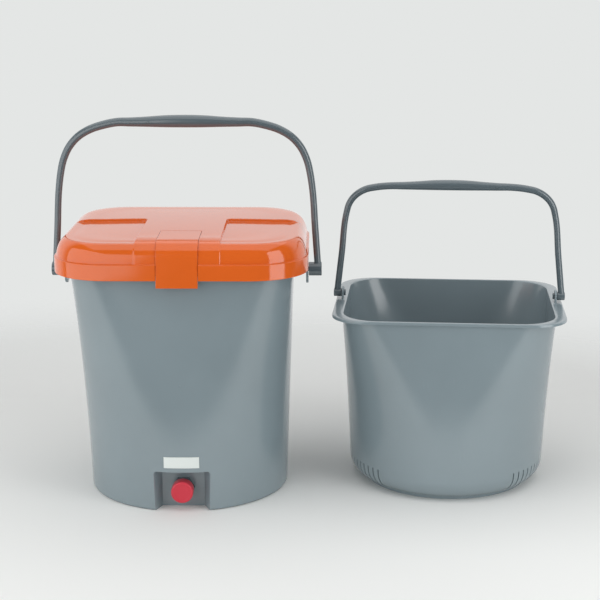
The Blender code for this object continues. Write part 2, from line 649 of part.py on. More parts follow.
def make_drain(parts, cutters, dark, red, rubber):
    """Spout, washer, nut, screw cap and cap seal on one axis that runs forward out of the alcove."""
    place = (0, 0, DRAIN_HEIGHT)
    inner_wall = -(ALCOVE_BACK_Y + ALCOVE_WALL)
    outer_wall = -ALCOVE_BACK_Y
    spout_end = -SPOUT_END_Y
    washer_far = inner_wall - SEAT_GAP - WASHER_THICKNESS
    collar_face = washer_far - SEAT_GAP
    spout = [
        (SPOUT_BORE_RADIUS, spout_end),
        (SPOUT_OUTER_RADIUS, spout_end),
        (SPOUT_OUTER_RADIUS, collar_face),
        (SPOUT_COLLAR_RADIUS, collar_face),
        (SPOUT_COLLAR_RADIUS, collar_face - SPOUT_COLLAR_THICKNESS),
        (SPOUT_BORE_RADIUS, collar_face - SPOUT_COLLAR_THICKNESS),
    ]
    make_part(turned("drain_spout", spout, place, parts), dark)
    hole = SPOUT_OUTER_RADIUS + SEAT_GAP
    washer = [
        (hole, inner_wall - SEAT_GAP),
        (SPOUT_COLLAR_RADIUS, inner_wall - SEAT_GAP),
        (SPOUT_COLLAR_RADIUS, washer_far),
        (hole, washer_far),
    ]
    make_part(turned("drain_washer", washer, place, parts), rubber)
    nut_back = outer_wall + SEAT_GAP
    corners = arc((0, DRAIN_HEIGHT), NUT_ACROSS_CORNERS_RADIUS, 0, 300, 5)
    nut_middle = -(nut_back + NUT_THICKNESS / 2)
    nut = plate("drain_nut", corners, NUT_THICKNESS, parts, ACROSS_Y, (0, nut_middle, 0))
    bore = rod(
        "nut_bore",
        (0, nut_middle - NUT_THICKNESS, DRAIN_HEIGHT),
        (0, nut_middle + NUT_THICKNESS, DRAIN_HEIGHT),
        hole,
        cutters,
        DRAIN_SIDES,
    )
    boolean(nut, hide_cutter(bore), "DIFFERENCE")
    make_part(nut, dark)
    seal_back = spout_end + SEAT_GAP
    seal_front = seal_back + CAP_SEAL_THICKNESS
    make_part(
        rod("drain_cap_seal", (0, -seal_front, DRAIN_HEIGHT), (0, -seal_back, DRAIN_HEIGHT),
            SPOUT_OUTER_RADIUS, parts, DRAIN_SIDES),
        rubber,
    )
    inside = seal_front + SEAT_GAP
    face = inside + CAP_FACE_THICKNESS
    bore_radius = SPOUT_OUTER_RADIUS + CAP_BORE_CLEARANCE
    cap = [
        (0, face),
        (CAP_FACE_RADIUS, face),
        (CAP_RADIUS, face - CAP_CHAMFER),
        (CAP_RADIUS, face - CAP_LENGTH),
        (bore_radius, face - CAP_LENGTH),
        (bore_radius, inside),
        (0, inside),
    ]
    make_part(turned("drain_cap", cap, place, parts), red)


# Lid

def lid_rings(top_drop, side_drop):
    """Rings of the lid's skin from its lower edge to the crown, lowered on top and moved in at the sides."""
    def ring(inset, height):
        return outline(LID_HALF_WIDTH - inset, LID_HALF_DEPTH - inset, LID_CORNER - inset, height)

    rings = [ring(side_drop, LID_BOTTOM), ring(side_drop, LID_BAND_TOP - LID_BAND_EDGE)]
    rings.append(ring(LID_BAND_EDGE + side_drop, LID_BAND_TOP))
    rise = LID_SHOULDER_TOP - LID_BAND_TOP - LID_BAND_EDGE
    reach = LID_SHOULDER_INSET - LID_BAND_STEP
    for in_share, up_share in LID_SIDE_LEAN_SHARES:
        inset = LID_BAND_STEP + reach * in_share + side_drop * (1 - in_share)
        height = LID_BAND_TOP + LID_BAND_EDGE + rise * up_share - top_drop * up_share ** 2
        rings.append(ring(inset, height))
    across = LID_HALF_DEPTH - LID_SHOULDER_INSET
    for in_share, up_share in LID_CROWN_SHARES:
        rings.append(ring(LID_SHOULDER_INSET + across * in_share, LID_SHOULDER_TOP + LID_CROWN * up_share - top_drop))
    return rings


def lid_skin(name, group, top_drop, side_drop, deep=False):
    """The lid filled solid. A deep one runs on below its lower edge."""
    rings = lid_rings(top_drop, side_drop)
    if deep:
        rings.insert(0, [point - Vector((0, 0, CUT_OVERRUN)) for point in rings[0]])
    return loft(name, rings, group)


def panel_zone(name, group, grow):
    """Two blocks over the front corners of the lid, either side of the middle band."""
    low_y = -LID_HALF_DEPTH - CUT_OVERRUN
    outer = LID_HALF_WIDTH + CUT_OVERRUN
    bottom = LID_BAND_TOP + LID_BAND_EDGE - grow
    top = LID_SHOULDER_TOP + CUT_OVERRUN
    blocks = []
    for side, side_name in ((-1, "left"), (1, "right")):
        inner_x = side * (PANEL_INNER_EDGE - grow)
        low_x, high_x = sorted((inner_x, side * outer))
        block = bar(f"{name}_{side_name}", (low_x, low_y, bottom), (high_x, PANEL_BACK_Y + grow, top), group)
        blocks.append(hide_cutter(block))
    return blocks


def latch_line(inset, foot):
    """The latch's outer surface as (y, height), from its pivot over the bend to its foot, moved inward."""
    slope = math.degrees(math.atan2(LATCH_TOP_HEIGHT - LATCH_BEND_TOP, LATCH_PIVOT_Y - LATCH_BEND_Y))
    middle = (LATCH_BEND_Y, LATCH_BEND_TOP - LATCH_BEND_RADIUS)
    points = [(LATCH_PIVOT_Y, LATCH_TOP_HEIGHT - inset)]
    points += arc(middle, LATCH_BEND_RADIUS - inset, 90 + slope, 180 - LATCH_LEAN_DEGREES)
    points.append((latch_front_y(inset, foot), foot))
    return points


def latch_strip(near, far, foot):
    """A flat outline between two depths below the latch's outer surface, down to a foot."""
    return latch_line(near, foot) + latch_line(far, foot)[::-1]


def latch_slot_points(depth):
    """The latch's slot: room for it to swing at the top, and a notch through the skirt under the ledge."""
    relief_end = LATCH_PIVOT_Y + LATCH_TOP_HEIGHT - LATCH_PIVOT_HEIGHT + LATCH_SWING_ROOM
    notch_y = -LID_HALF_DEPTH + LID_WALL + LATCH_GAP
    notch_top = LID_LEDGE_LOW - LID_LEDGE_THICKNESS
    below = LID_BOTTOM - CUT_OVERRUN
    points = [(relief_end, LATCH_TOP_HEIGHT + CUT_OVERRUN)] + latch_line(-CUT_OVERRUN, below)
    points += [(notch_y, below), (notch_y, notch_top)]
    return points + latch_line(depth, notch_top)[::-1] + [(relief_end, LATCH_TOP_HEIGHT - depth)]


def make_lid(parts, cutters, orange):
    lid = lid_skin("lid", parts, 0.0, 0.0)
    for zone in panel_zone("panel", cutters, 0.0):
        lowered = lid_skin(f"{zone.name}_floor", cutters, PANEL_DROP, PANEL_FRONT_DROP)
        boolean(zone, hide_cutter(lowered), "DIFFERENCE")
        boolean(lid, zone, "DIFFERENCE")
    cavity = lid_skin("lid_cavity", cutters, LID_WALL, LID_WALL, deep=True)
    for zone in panel_zone("panel_wall", cutters, LID_WALL):
        deeper = lid_skin(
            f"{zone.name}_under", cutters, PANEL_DROP + LID_WALL, PANEL_FRONT_DROP + LID_WALL
        )
        boolean(zone, hide_cutter(deeper), "DIFFERENCE")
        boolean(cavity, zone, "DIFFERENCE")
    ledge_top = LID_LEDGE_LOW + LID_LEDGE_THICKNESS
    slot_depth = LATCH_THICKNESS + LATCH_GAP
    wall_width = 2 * (LATCH_HALF_WIDTH + LATCH_GAP + LID_WALL)
    wall_points = latch_strip(-CUT_OVERRUN, slot_depth + LID_WALL, ledge_top)
    slot_wall = plate("latch_slot_wall", wall_points, wall_width, cutters, ACROSS_X)
    pocket_radius = LATCH_BARREL_RADIUS + LATCH_GAP
    pocket_half = LATCH_HALF_WIDTH + LATCH_GAP
    pivot = (LATCH_PIVOT_Y, LATCH_PIVOT_HEIGHT)
    pocket_wall = rod(
        "latch_pocket_wall",
        (-wall_width / 2, *pivot), (wall_width / 2, *pivot), pocket_radius + LID_WALL, cutters,
    )
    boolean(cavity, hide_cutter(slot_wall), "DIFFERENCE")
    boolean(cavity, hide_cutter(pocket_wall), "DIFFERENCE")
    boolean(lid, hide_cutter(cavity), "DIFFERENCE")
    add_ledge(lid, cutters)
    add_latch_lugs(lid, cutters)
    slot = plate("latch_slot", latch_slot_points(slot_depth), 2 * pocket_half, cutters, ACROSS_X)
    pocket = rod("latch_pocket", (-pocket_half, *pivot), (pocket_half, *pivot), pocket_radius, cutters)
    boolean(lid, hide_cutter(slot), "DIFFERENCE")
    boolean(lid, hide_cutter(pocket), "DIFFERENCE")
    pin_half = LATCH_HALF_WIDTH + LATCH_LUG_WIDTH
    pin_hole = rod(
        "latch_pin_hole", (-pin_half, *pivot), (pin_half, *pivot), LATCH_PIN_RADIUS + SEAT_GAP, cutters
    )
    boolean(lid, hide_cutter(pin_hole), "DIFFERENCE")
    add_lid_lug(lid, cutters)
    return make_part(lid, orange)


def add_ledge(lid, group):
    """A ledge round the inside of the skirt that presses on the gasket."""
    low, high = LID_LEDGE_LOW, LID_LEDGE_LOW + LID_LEDGE_THICKNESS
    rings = []
    for inset, height in (
        (LID_WALL / 2, low), (LID_WALL / 2, high), (LID_WALL + LID_LEDGE_REACH, high), (LID_WALL + LID_LEDGE_REACH, low)
    ):
        rings.append(outline(LID_HALF_WIDTH - inset, LID_HALF_DEPTH - inset, LID_CORNER - inset, height))
    boolean(lid, hide_cutter(loft("lid_ledge", rings, group, closed=True)), "UNION")


def add_latch_lugs(lid, group):
    """Lugs under the lid, either side of the latch, that hold the ends of its pin."""
    for side, name in ((-1, "left"), (1, "right")):
        inner = side * (LATCH_HALF_WIDTH + LATCH_GAP)
        outer = side * (LATCH_HALF_WIDTH + LATCH_GAP + LATCH_LUG_WIDTH)
        lug = rod(
            f"latch_lug_{name}",
            (inner, LATCH_PIVOT_Y, LATCH_PIVOT_HEIGHT - LATCH_PIN_RADIUS),
            (outer, LATCH_PIVOT_Y, LATCH_PIVOT_HEIGHT - LATCH_PIN_RADIUS),
            LATCH_LUG_RADIUS,
            group,
        )
        crown = lid_skin(f"latch_lug_trim_{name}", group, SEAT_GAP, SEAT_GAP)
        boolean(lug, hide_cutter(crown), "INTERSECT")
        boolean(lid, hide_cutter(lug), "UNION")


def add_lid_lug(lid, group):
    """The lid's knuckle, which turns on the hinge pin between the bin's lugs."""
    skirt_y = LID_HALF_DEPTH - LID_WALL / 2
    points = [(skirt_y, LID_BOTTOM + BIN_FLANGE_THICKNESS), (HINGE_Y, HINGE_HEIGHT - HINGE_BARREL_RADIUS)]
    points += arc((HINGE_Y, HINGE_HEIGHT), HINGE_BARREL_RADIUS, -60, 90)
    points += [(skirt_y, LID_BAND_TOP - HINGE_BARREL_RADIUS)]
    width = 2 * (BIN_LUG_INNER_X - RUNNING_GAP)
    boolean(lid, hide_cutter(plate("lid_lug", points, width, group, ACROSS_X)), "UNION")
    reach = BIN_LUG_OUTER_X
    bore = rod("lid_bore", (-reach, HINGE_Y, HINGE_HEIGHT), (reach, HINGE_Y, HINGE_HEIGHT), HINGE_BORE_RADIUS, group)
    boolean(lid, hide_cutter(bore), "DIFFERENCE")


def make_lid_seal(parts, rubber):
    """A gasket that lies on the bin's flange under the lid's ledge."""
    low = BIN_HEIGHT + SEAT_GAP
    high = LID_LEDGE_LOW - SEAT_GAP
    rings = []
    for inset, height in (
        (SEAL_INSET, low), (SEAL_INSET, high), (SEAL_INSET + SEAL_WIDTH, high), (SEAL_INSET + SEAL_WIDTH, low)
    ):
        rings.append(
            outline(BIN_FLANGE_HALF_WIDTH - inset, BIN_FLANGE_HALF_DEPTH - inset, BIN_FLANGE_CORNER - inset, height)
        )
    return make_part(loft("lid_seal", rings, parts, closed=True), rubber)


def make_hinge_pin(parts, dark):
    reach = BIN_LUG_OUTER_X + HINGE_PIN_OVERHANG
    pin = rod(
        "lid_hinge_pin", (-reach, HINGE_Y, HINGE_HEIGHT), (reach, HINGE_Y, HINGE_HEIGHT), HINGE_PIN_RADIUS, parts
    )
    return make_part(pin, dark)


# Latch

def make_latch(parts, cutters, orange, dark):
    """A bent strip that follows the lid's shoulder, a barrel at its top and a hooked foot."""
    strip = plate(
        "latch", latch_strip(0.0, LATCH_THICKNESS, LATCH_FOOT_HEIGHT), 2 * LATCH_HALF_WIDTH, parts, ACROSS_X
    )
    pivot = (LATCH_PIVOT_Y, LATCH_PIVOT_HEIGHT)
    barrel = rod(
        "latch_barrel", (-LATCH_HALF_WIDTH, *pivot), (LATCH_HALF_WIDTH, *pivot), LATCH_BARREL_RADIUS, cutters
    )
    boolean(strip, hide_cutter(barrel), "UNION")
    slope = latch_release()
    tip = nose_tip()
    plate_y = latch_front_y(LATCH_THICKNESS / 2, LATCH_FOOT_HEIGHT)
    top = LID_BOTTOM - RUNNING_GAP
    inner_y = tip.x + (top - tip.y) * slope.x / slope.y
    points = [(plate_y, LATCH_FOOT_HEIGHT), (tip.x, LATCH_FOOT_HEIGHT), (tip.x, tip.y)]
    points += [(inner_y, top), (plate_y, top)]
    nose = plate("latch_nose", points, 2 * CATCH_HALF_WIDTH, cutters, ACROSS_X)
    boolean(strip, hide_cutter(nose), "UNION")
    reach = LATCH_HALF_WIDTH + CUT_OVERRUN
    bore = rod("latch_bore", (-reach, *pivot), (reach, *pivot), LATCH_BORE_RADIUS, cutters)
    boolean(strip, hide_cutter(bore), "DIFFERENCE")
    make_part(strip, orange)
    pin_half = LATCH_HALF_WIDTH + LATCH_LUG_WIDTH - SEAT_GAP
    make_part(rod("latch_pin", (-pin_half, *pivot), (pin_half, *pivot), LATCH_PIN_RADIUS, parts), dark)


# Bails

def bail_path(foot, leg_top, bends, bar_end, grip, radii):
    """Points and radii along a bail from its left foot to its right foot: legs, bends and a swelling grip."""
    leg_radius, bar_radius, grip_radius = radii
    half = [(*foot, leg_radius)]
    middle = tuple((low + high) / 2 for low, high in zip(foot, leg_top))
    half += [(*middle, leg_radius), (*leg_top, leg_radius)]
    count = len(bends) + 1
    for step, (in_share, up_share) in enumerate(bends):
        x = leg_top[0] + (bar_end[0] - leg_top[0]) * in_share
        height = leg_top[1] + (bar_end[1] - leg_top[1]) * up_share
        half.append((x, height, leg_radius + (bar_radius - leg_radius) * (step + 1) / count))
    half.append((*bar_end, bar_radius))
    for out_share, swell_share in BAR_RADIUS_SHARES:
        height = bar_end[1] + (grip[1] - bar_end[1]) * swell_share
        half.append((bar_end[0] * out_share, height, bar_radius + (grip_radius - bar_radius) * swell_share))
    right = [(x, z, radius) for x, z, radius in half]
    left = [(-x, z, radius) for x, z, radius in half]
    return left + [(0.0, grip[1], grip_radius)] + right[::-1]


def bail_tube(name, path, pivot_height, group):
    """A tube along the path, drawn around the bail's own axis."""
    curve = bpy.data.curves.new(name, "CURVE")
    curve.dimensions = "3D"
    curve.bevel_depth = 1.0
    curve.bevel_resolution = TUBE_BEVEL_RESOLUTION
    curve.use_fill_caps = True
    spline = curve.splines.new("POLY")
    spline.points.add(len(path) - 1)
    for spot, (x, z, radius) in zip(spline.points, path):
        spot.co = (x, 0, z - pivot_height, 1)
        spot.radius = radius
    thing = bpy.data.objects.new(name, curve)
    group.objects.link(thing)
    return curve_to_mesh(thing, group)


def place_on_pivot(thing, holder, pivot_height):
    """Parent a piece to what holds it, with its origin on its pivot's axis."""
    thing.parent = holder
    thing.location = (0, 0, pivot_height)
    return thing


def add_bail_feet(tube, name, boss, pin, pivot_height, group):
    """A boss at each foot of a bail, with a blind bore for its pin."""
    inner, outer, boss_radius = boss
    pin_end, bore_radius = pin
    for side, side_name in ((-1, "left"), (1, "right")):
        foot = rod(f"{name}_boss_{side_name}", (side * inner, 0, 0), (side * outer, 0, 0), boss_radius, group)
        boolean(tube, hide_cutter(place_on_pivot(foot, tube.parent, pivot_height)), "UNION")
    for side, side_name in ((-1, "left"), (1, "right")):
        start = side * (inner - CUT_OVERRUN)
        bore = rod(
            f"{name}_bore_{side_name}", (start, 0, 0), (side * (pin_end + RUNNING_GAP), 0, 0), bore_radius, group
        )
        boolean(tube, hide_cutter(place_on_pivot(bore, tube.parent, pivot_height)), "DIFFERENCE")


def make_pins(name, holder, pivot_height, head, shaft, parts, material):
    """A headed pin at each ear: its head lies inside the ear, its shaft ends in the bail's boss."""
    head_inner, head_outer, head_radius = head
    shaft_end, shaft_radius = shaft
    profile = [
        (0, shaft_end), (shaft_radius, shaft_end), (shaft_radius, head_outer),
        (head_radius, head_outer), (head_radius, head_inner), (0, head_inner),
    ]
    for side_name, turn in (("left", TOWARD_LEFT), ("right", TOWARD_RIGHT)):
        pin = turned(f"{name}_{side_name}", profile, (0, 0, 0), parts, turn, HINGE_SIDES)
        make_part(place_on_pivot(pin, holder, pivot_height), material)


def make_carry_bail(holder, parts, cutters, dark):
    path = bail_path(
        (BAIL_LEG_FOOT_X, BAIL_PIVOT_HEIGHT),
        (BAIL_LEG_TOP_X, BAIL_LEG_TOP_HEIGHT),
        BAIL_BEND_SHARES,
        (BAIL_BAR_X, BAIL_BAR_HEIGHT),
        (0.0, BAIL_GRIP_HEIGHT),
        (BAIL_LEG_RADIUS, BAIL_BAR_RADIUS, BAIL_GRIP_RADIUS),
    )
    bail = place_on_pivot(bail_tube("carry_bail", path, BAIL_PIVOT_HEIGHT, parts), holder, BAIL_PIVOT_HEIGHT)
    boss = (BAIL_BOSS_INNER, BAIL_BOSS_OUTER, BAIL_BOSS_RADIUS)
    add_bail_feet(bail, "bail", boss, (BAIL_PIN_END_X, BAIL_PIN_RADIUS + RUNNING_GAP), BAIL_PIVOT_HEIGHT, cutters)
    make_part(bail, dark)
    ear_inner = EAR_OUTER_HALF_SPAN - EAR_THICKNESS
    head = (ear_inner - SEAT_GAP - BAIL_PIN_HEAD_THICKNESS, ear_inner - SEAT_GAP, BAIL_PIN_HEAD_RADIUS)
    shaft = (BAIL_PIN_END_X, BAIL_PIN_RADIUS)
    make_pins("carry_bail_pin", holder, BAIL_PIVOT_HEIGHT, head, shaft, parts, dark)


def make_bucket_bail(holder, parts, cutters, dark):
    path = bail_path(
        (BUCKET_BAIL_FOOT_X, BUCKET_PIVOT_HEIGHT),
        (BUCKET_BAIL_LEG_TOP_X, BUCKET_BAIL_LEG_TOP_HEIGHT),
        BUCKET_BAIL_BEND_SHARES,
        (BUCKET_BAIL_BAR_X, BUCKET_BAIL_BAR_HEIGHT),
        (0.0, BUCKET_BAIL_GRIP_HEIGHT),
        (BUCKET_BAIL_LEG_RADIUS, BUCKET_BAIL_BAR_RADIUS, BUCKET_BAIL_GRIP_RADIUS),
    )
    tube = bail_tube("bucket_bail", path, BUCKET_PIVOT_HEIGHT, parts)
    bail = place_on_pivot(tube, holder, BUCKET_PIVOT_HEIGHT)
    boss_inner = BUCKET_EAR_OUTER_HALF_SPAN + RUNNING_GAP
    boss_outer = BUCKET_BAIL_FOOT_X + BUCKET_BAIL_LEG_RADIUS
    boss = (boss_inner, boss_outer, BUCKET_BAIL_BOSS_RADIUS)
    pin = (BUCKET_PIN_END_X, BUCKET_PIN_RADIUS + RUNNING_GAP)
    add_bail_feet(bail, "bucket_bail", boss, pin, BUCKET_PIVOT_HEIGHT, cutters)
    make_part(bail, dark)
    ear_inner = BUCKET_EAR_OUTER_HALF_SPAN - BUCKET_EAR_THICKNESS
    head = (ear_inner - SEAT_GAP - BUCKET_PIN_HEAD_THICKNESS, ear_inner - SEAT_GAP, BUCKET_PIN_HEAD_RADIUS)
    shaft = (BUCKET_PIN_END_X, BUCKET_PIN_RADIUS)
    make_pins("bucket_bail_pin", holder, BUCKET_PIVOT_HEIGHT, head, shaft, parts, dark)


# Inner bucket

def bucket_section(height, inset):
    """Plan outline of the bucket's wall. Its rim passes into the bin's mouth with the nesting gap."""
    share = height / BUCKET_HEIGHT
    nest = BIN_WALL + BUCKET_NEST_GAP
    rim_width = BIN_RIM_HALF_WIDTH - nest
    rim_depth = BIN_RIM_HALF_DEPTH - nest
    half_width = BUCKET_BASE_RADIUS + (rim_width - BUCKET_BASE_RADIUS) * share
    half_depth = BUCKET_BASE_RADIUS + (rim_depth - BUCKET_BASE_RADIUS) * share
    corner = BUCKET_BASE_RADIUS + (BUCKET_RIM_CORNER - BUCKET_BASE_RADIUS) * share ** BIN_CORNER_POWER
    return outline(half_width - inset, half_depth - inset, corner - inset, height)


def bucket_fillet(radius, low, inset):
    """Rings round the fillet at the bucket's base, from the floor to the wall."""
    rings = []
    for share in (BUCKET_FILLET_START_SHARE, *FILLET_TURN_SHARES[1:]):
        turn = math.radians(90 * share)
        rings.append(bucket_section(low + radius * (1 - math.cos(turn)), inset + radius * (1 - math.sin(turn))))
    return rings


def bucket_rings():
    """The whole skin of the bucket: floor, foot ring, outside, rim, inside and floor again."""
    foot_inner = BUCKET_FOOT_RADIUS - BUCKET_FOOT_WIDTH
    rings = [outline(foot_inner, foot_inner, foot_inner, BUCKET_FOOT_HEIGHT)]
    rings.append(outline(foot_inner, foot_inner, foot_inner, 0.0))
    rings.append(outline(BUCKET_FOOT_RADIUS, BUCKET_FOOT_RADIUS, BUCKET_FOOT_RADIUS, 0.0))
    foot_top = BUCKET_FOOT_HEIGHT + SEAT_GAP
    rings.append(outline(BUCKET_FOOT_RADIUS, BUCKET_FOOT_RADIUS, BUCKET_FOOT_RADIUS, foot_top))
    rings += bucket_fillet(BUCKET_FILLET, BUCKET_FOOT_HEIGHT, 0.0)
    rings += [bucket_section(BUCKET_HEIGHT * share, 0.0) for share in WALL_RING_SHARES]
    under = BUCKET_HEIGHT - BUCKET_FLANGE_THICKNESS
    lip_bottom = BUCKET_HEIGHT - BUCKET_LIP
    rings.append(bucket_section(under, 0.0))

    def flange(inset, height):
        return outline(
            BUCKET_FLANGE_HALF_WIDTH - inset, BUCKET_FLANGE_HALF_DEPTH - inset, BUCKET_FLANGE_CORNER - inset, height
        )

    rings += [flange(BUCKET_WALL, under), flange(BUCKET_WALL, lip_bottom)]
    rings += [flange(0.0, lip_bottom), flange(0.0, BUCKET_HEIGHT)]
    rings.append(bucket_section(BUCKET_HEIGHT, BUCKET_WALL))
    inside = [bucket_section(BUCKET_HEIGHT * share, BUCKET_WALL) for share in WALL_RING_SHARES]
    inside = bucket_fillet(BUCKET_FILLET - BUCKET_WALL, BUCKET_FOOT_HEIGHT + BUCKET_FLOOR, BUCKET_WALL) + inside
    return rings + inside[::-1]


def add_bucket_slots(bucket, holder, group):
    """Four groups of drain slots round the base, cut through the fillet by thin blades."""
    shape = bmesh.new()
    height = SLOT_HIGH - SLOT_LOW
    length = BUCKET_BASE_RADIUS + CUT_OVERRUN - SLOT_INNER_RADIUS
    for group_step in range(SLOT_GROUP_COUNT):
        quarter = group_step // 2 * 180
        side = 1 if group_step % 2 else -1
        for step in range(SLOTS_IN_GROUP):
            offset = (step - (SLOTS_IN_GROUP - 1) / 2) * SLOT_PITCH_DEGREES
            azimuth = math.radians(quarter + side * (SLOT_GROUP_AZIMUTH_DEGREES + offset))
            blade = bmesh.ops.create_cube(shape, size=1.0)["verts"]
            bmesh.ops.scale(shape, vec=(length, SLOT_WIDTH, height), verts=blade)
            middle = (SLOT_INNER_RADIUS + length / 2, 0, SLOT_LOW + height / 2)
            bmesh.ops.translate(shape, vec=middle, verts=blade)
            bmesh.ops.rotate(shape, cent=(0, 0, 0), matrix=Matrix.Rotation(azimuth, 3, "Z"), verts=blade)
    mesh = bpy.data.meshes.new("slot_blades")
    shape.to_mesh(mesh)
    shape.free()
    blades = add_object("slot_blades", mesh, group)
    blades.parent = holder
    boolean(bucket, hide_cutter(blades), "DIFFERENCE")


def add_bucket_ears(bucket, holder, group):
    """Ears that stand on the bucket's flange, with holes for the bail's pins."""
    for side, name in ((-1, "left"), (1, "right")):
        middle_x = side * (BUCKET_EAR_OUTER_HALF_SPAN - BUCKET_EAR_THICKNESS / 2)
        base = BUCKET_HEIGHT - BUCKET_FLANGE_THICKNESS / 2
        points = [(-BUCKET_EAR_HALF_WIDTH, base), (BUCKET_EAR_HALF_WIDTH, base)]
        points += arc((0, BUCKET_PIVOT_HEIGHT), BUCKET_EAR_HALF_WIDTH, 0, 180)
        ear = plate(f"bucket_ear_{name}", points, BUCKET_EAR_THICKNESS, group, ACROSS_X, (middle_x, 0, 0))
        local = ear.matrix_world.copy()
        ear.parent = holder
        ear.matrix_local = local
        boolean(bucket, hide_cutter(ear), "UNION")
    for side, name in ((-1, "left"), (1, "right")):
        start = side * (BUCKET_EAR_OUTER_HALF_SPAN - BUCKET_EAR_THICKNESS - CUT_OVERRUN / 2)
        end = side * (BUCKET_EAR_OUTER_HALF_SPAN + CUT_OVERRUN)
        hole = rod(f"bucket_ear_hole_{name}", (start, 0, 0), (end, 0, 0), BUCKET_PIN_RADIUS + RUNNING_GAP, group)
        boolean(bucket, hide_cutter(place_on_pivot(hole, holder, BUCKET_PIVOT_HEIGHT)), "DIFFERENCE")


def make_bucket(holder, parts, cutters, grey):
    bucket = loft("inner_bucket", bucket_rings(), parts)
    bucket.parent = holder
    add_bucket_slots(bucket, holder, cutters)
    add_bucket_ears(bucket, holder, cutters)
    return make_part(bucket, grey)


def main():
    clear_scene()
    parts = collection("organic_waste_bin")
    cutters = collection("cutters")
    grey = finish("grey plastic", GREY, 0.38)
    dark = finish("dark grey plastic", DARK_GREY, 0.34)
    orange = finish("orange plastic", ORANGE, 0.16)
    red = finish("red plastic", RED, 0.3)
    white = finish("white label", WHITE, 0.5)
    rubber = finish("black rubber", RUBBER_BLACK, 0.75)

    make_bin(parts, cutters, grey)
    make_label(parts, cutters, white)
    make_drain(parts, cutters, dark, red, rubber)
    make_lid(parts, cutters, orange)
    make_lid_seal(parts, rubber)
    make_hinge_pin(parts, dark)
    make_latch(parts, cutters, orange, dark)

    bin_stand = bpy.data.objects.new("bin_stand", None)
    parts.objects.link(bin_stand)
    make_carry_bail(bin_stand, parts, cutters, dark)

    bucket_stand = bpy.data.objects.new("bucket_stand", None)
    parts.objects.link(bucket_stand)
    bucket_stand.location = (BUCKET_X, BUCKET_Y, 0)
    bucket_stand.rotation_euler = (0, 0, math.radians(BUCKET_TURN_DEGREES))
    make_bucket(bucket_stand, parts, cutters, grey)
    make_bucket_bail(bucket_stand, parts, cutters, dark)


main()
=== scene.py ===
"""Organic waste bin: the shells and finishes of a carrying bin, its lid, latch and drain, and its bucket.

Metres, +Z up, the front of the bin towards -Y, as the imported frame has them.
"""

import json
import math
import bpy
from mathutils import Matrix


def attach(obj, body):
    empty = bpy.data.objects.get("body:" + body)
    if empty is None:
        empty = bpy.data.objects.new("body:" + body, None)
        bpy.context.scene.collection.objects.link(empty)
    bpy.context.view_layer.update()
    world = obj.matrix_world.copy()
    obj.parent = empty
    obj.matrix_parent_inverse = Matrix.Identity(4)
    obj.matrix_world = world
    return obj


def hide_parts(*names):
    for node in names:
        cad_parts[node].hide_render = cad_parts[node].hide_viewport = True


bl_info = {
    "name": "Organic Waste Bin",
    "version": (1, 0, 0),
    "blender": (4, 5, 0),
    "location": "View3D > Sidebar > Waste Bin",
    "description": "Builds the shells, bails, latch and drain of an organic waste bin round its frame",
    "category": "Object",
}

import bmesh
import bpy
from bpy.props import FloatProperty, FloatVectorProperty, PointerProperty
from bpy.types import Operator, Panel, PropertyGroup
from mathutils import Matrix, Vector

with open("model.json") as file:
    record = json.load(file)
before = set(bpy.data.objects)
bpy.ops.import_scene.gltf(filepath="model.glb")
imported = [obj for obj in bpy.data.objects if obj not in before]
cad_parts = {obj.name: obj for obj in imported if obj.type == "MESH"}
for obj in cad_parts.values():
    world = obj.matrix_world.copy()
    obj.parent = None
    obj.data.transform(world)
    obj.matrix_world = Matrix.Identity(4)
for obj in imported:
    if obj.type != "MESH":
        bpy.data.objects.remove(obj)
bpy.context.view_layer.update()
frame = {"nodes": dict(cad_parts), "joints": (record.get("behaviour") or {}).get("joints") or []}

# Places that the frame's joints give
JOINTS = {joint["name"]: joint for joint in frame["joints"]}
HINGE = Vector(JOINTS["lid_hinge"]["pos_m"])
LATCH_PIVOT = Vector(JOINTS["latch_hinge"]["pos_m"])
BAIL_PIVOT = Vector(JOINTS["carry_bail_swing"]["pos_m"])
BUCKET_PIVOT = Vector(JOINTS["bucket_bail_swing"]["pos_m"])
BUCKET_AXIS = Vector(JOINTS["bucket_bail_swing"]["axis"])
BUCKET_PLACE = Matrix.Translation((BUCKET_PIVOT.x, BUCKET_PIVOT.y, 0)) @ Matrix.Rotation(
    math.atan2(BUCKET_AXIS.y, BUCKET_AXIS.x), 4, "Z"
)

# Clearances, cutting and fineness
SEAT_GAP = 0.0003
RUNNING_GAP = 0.0004
CUT_OVERRUN = 0.010
WELD_DISTANCE = 0.00001
RING_POINTS = 192
CORNER_CROWDING_SHARE = 0.45
WALL_RINGS = 28
ROD_SIDES = 48
TURNED_SIDES = 96
SHARP_DEGREES = 33.0
ARC_STEPS = 16
ROUND_STEPS = 4
WALL_ROUND_STEPS = 5
FLAT_RING_EDGES = 5  # how far in a base's innermost ring lies, in widths of its rounded edge
WALL_SEARCH_ROUNDS = 5

# How the corners of the walls open out towards the rim
CORNER_POWER = 2.15

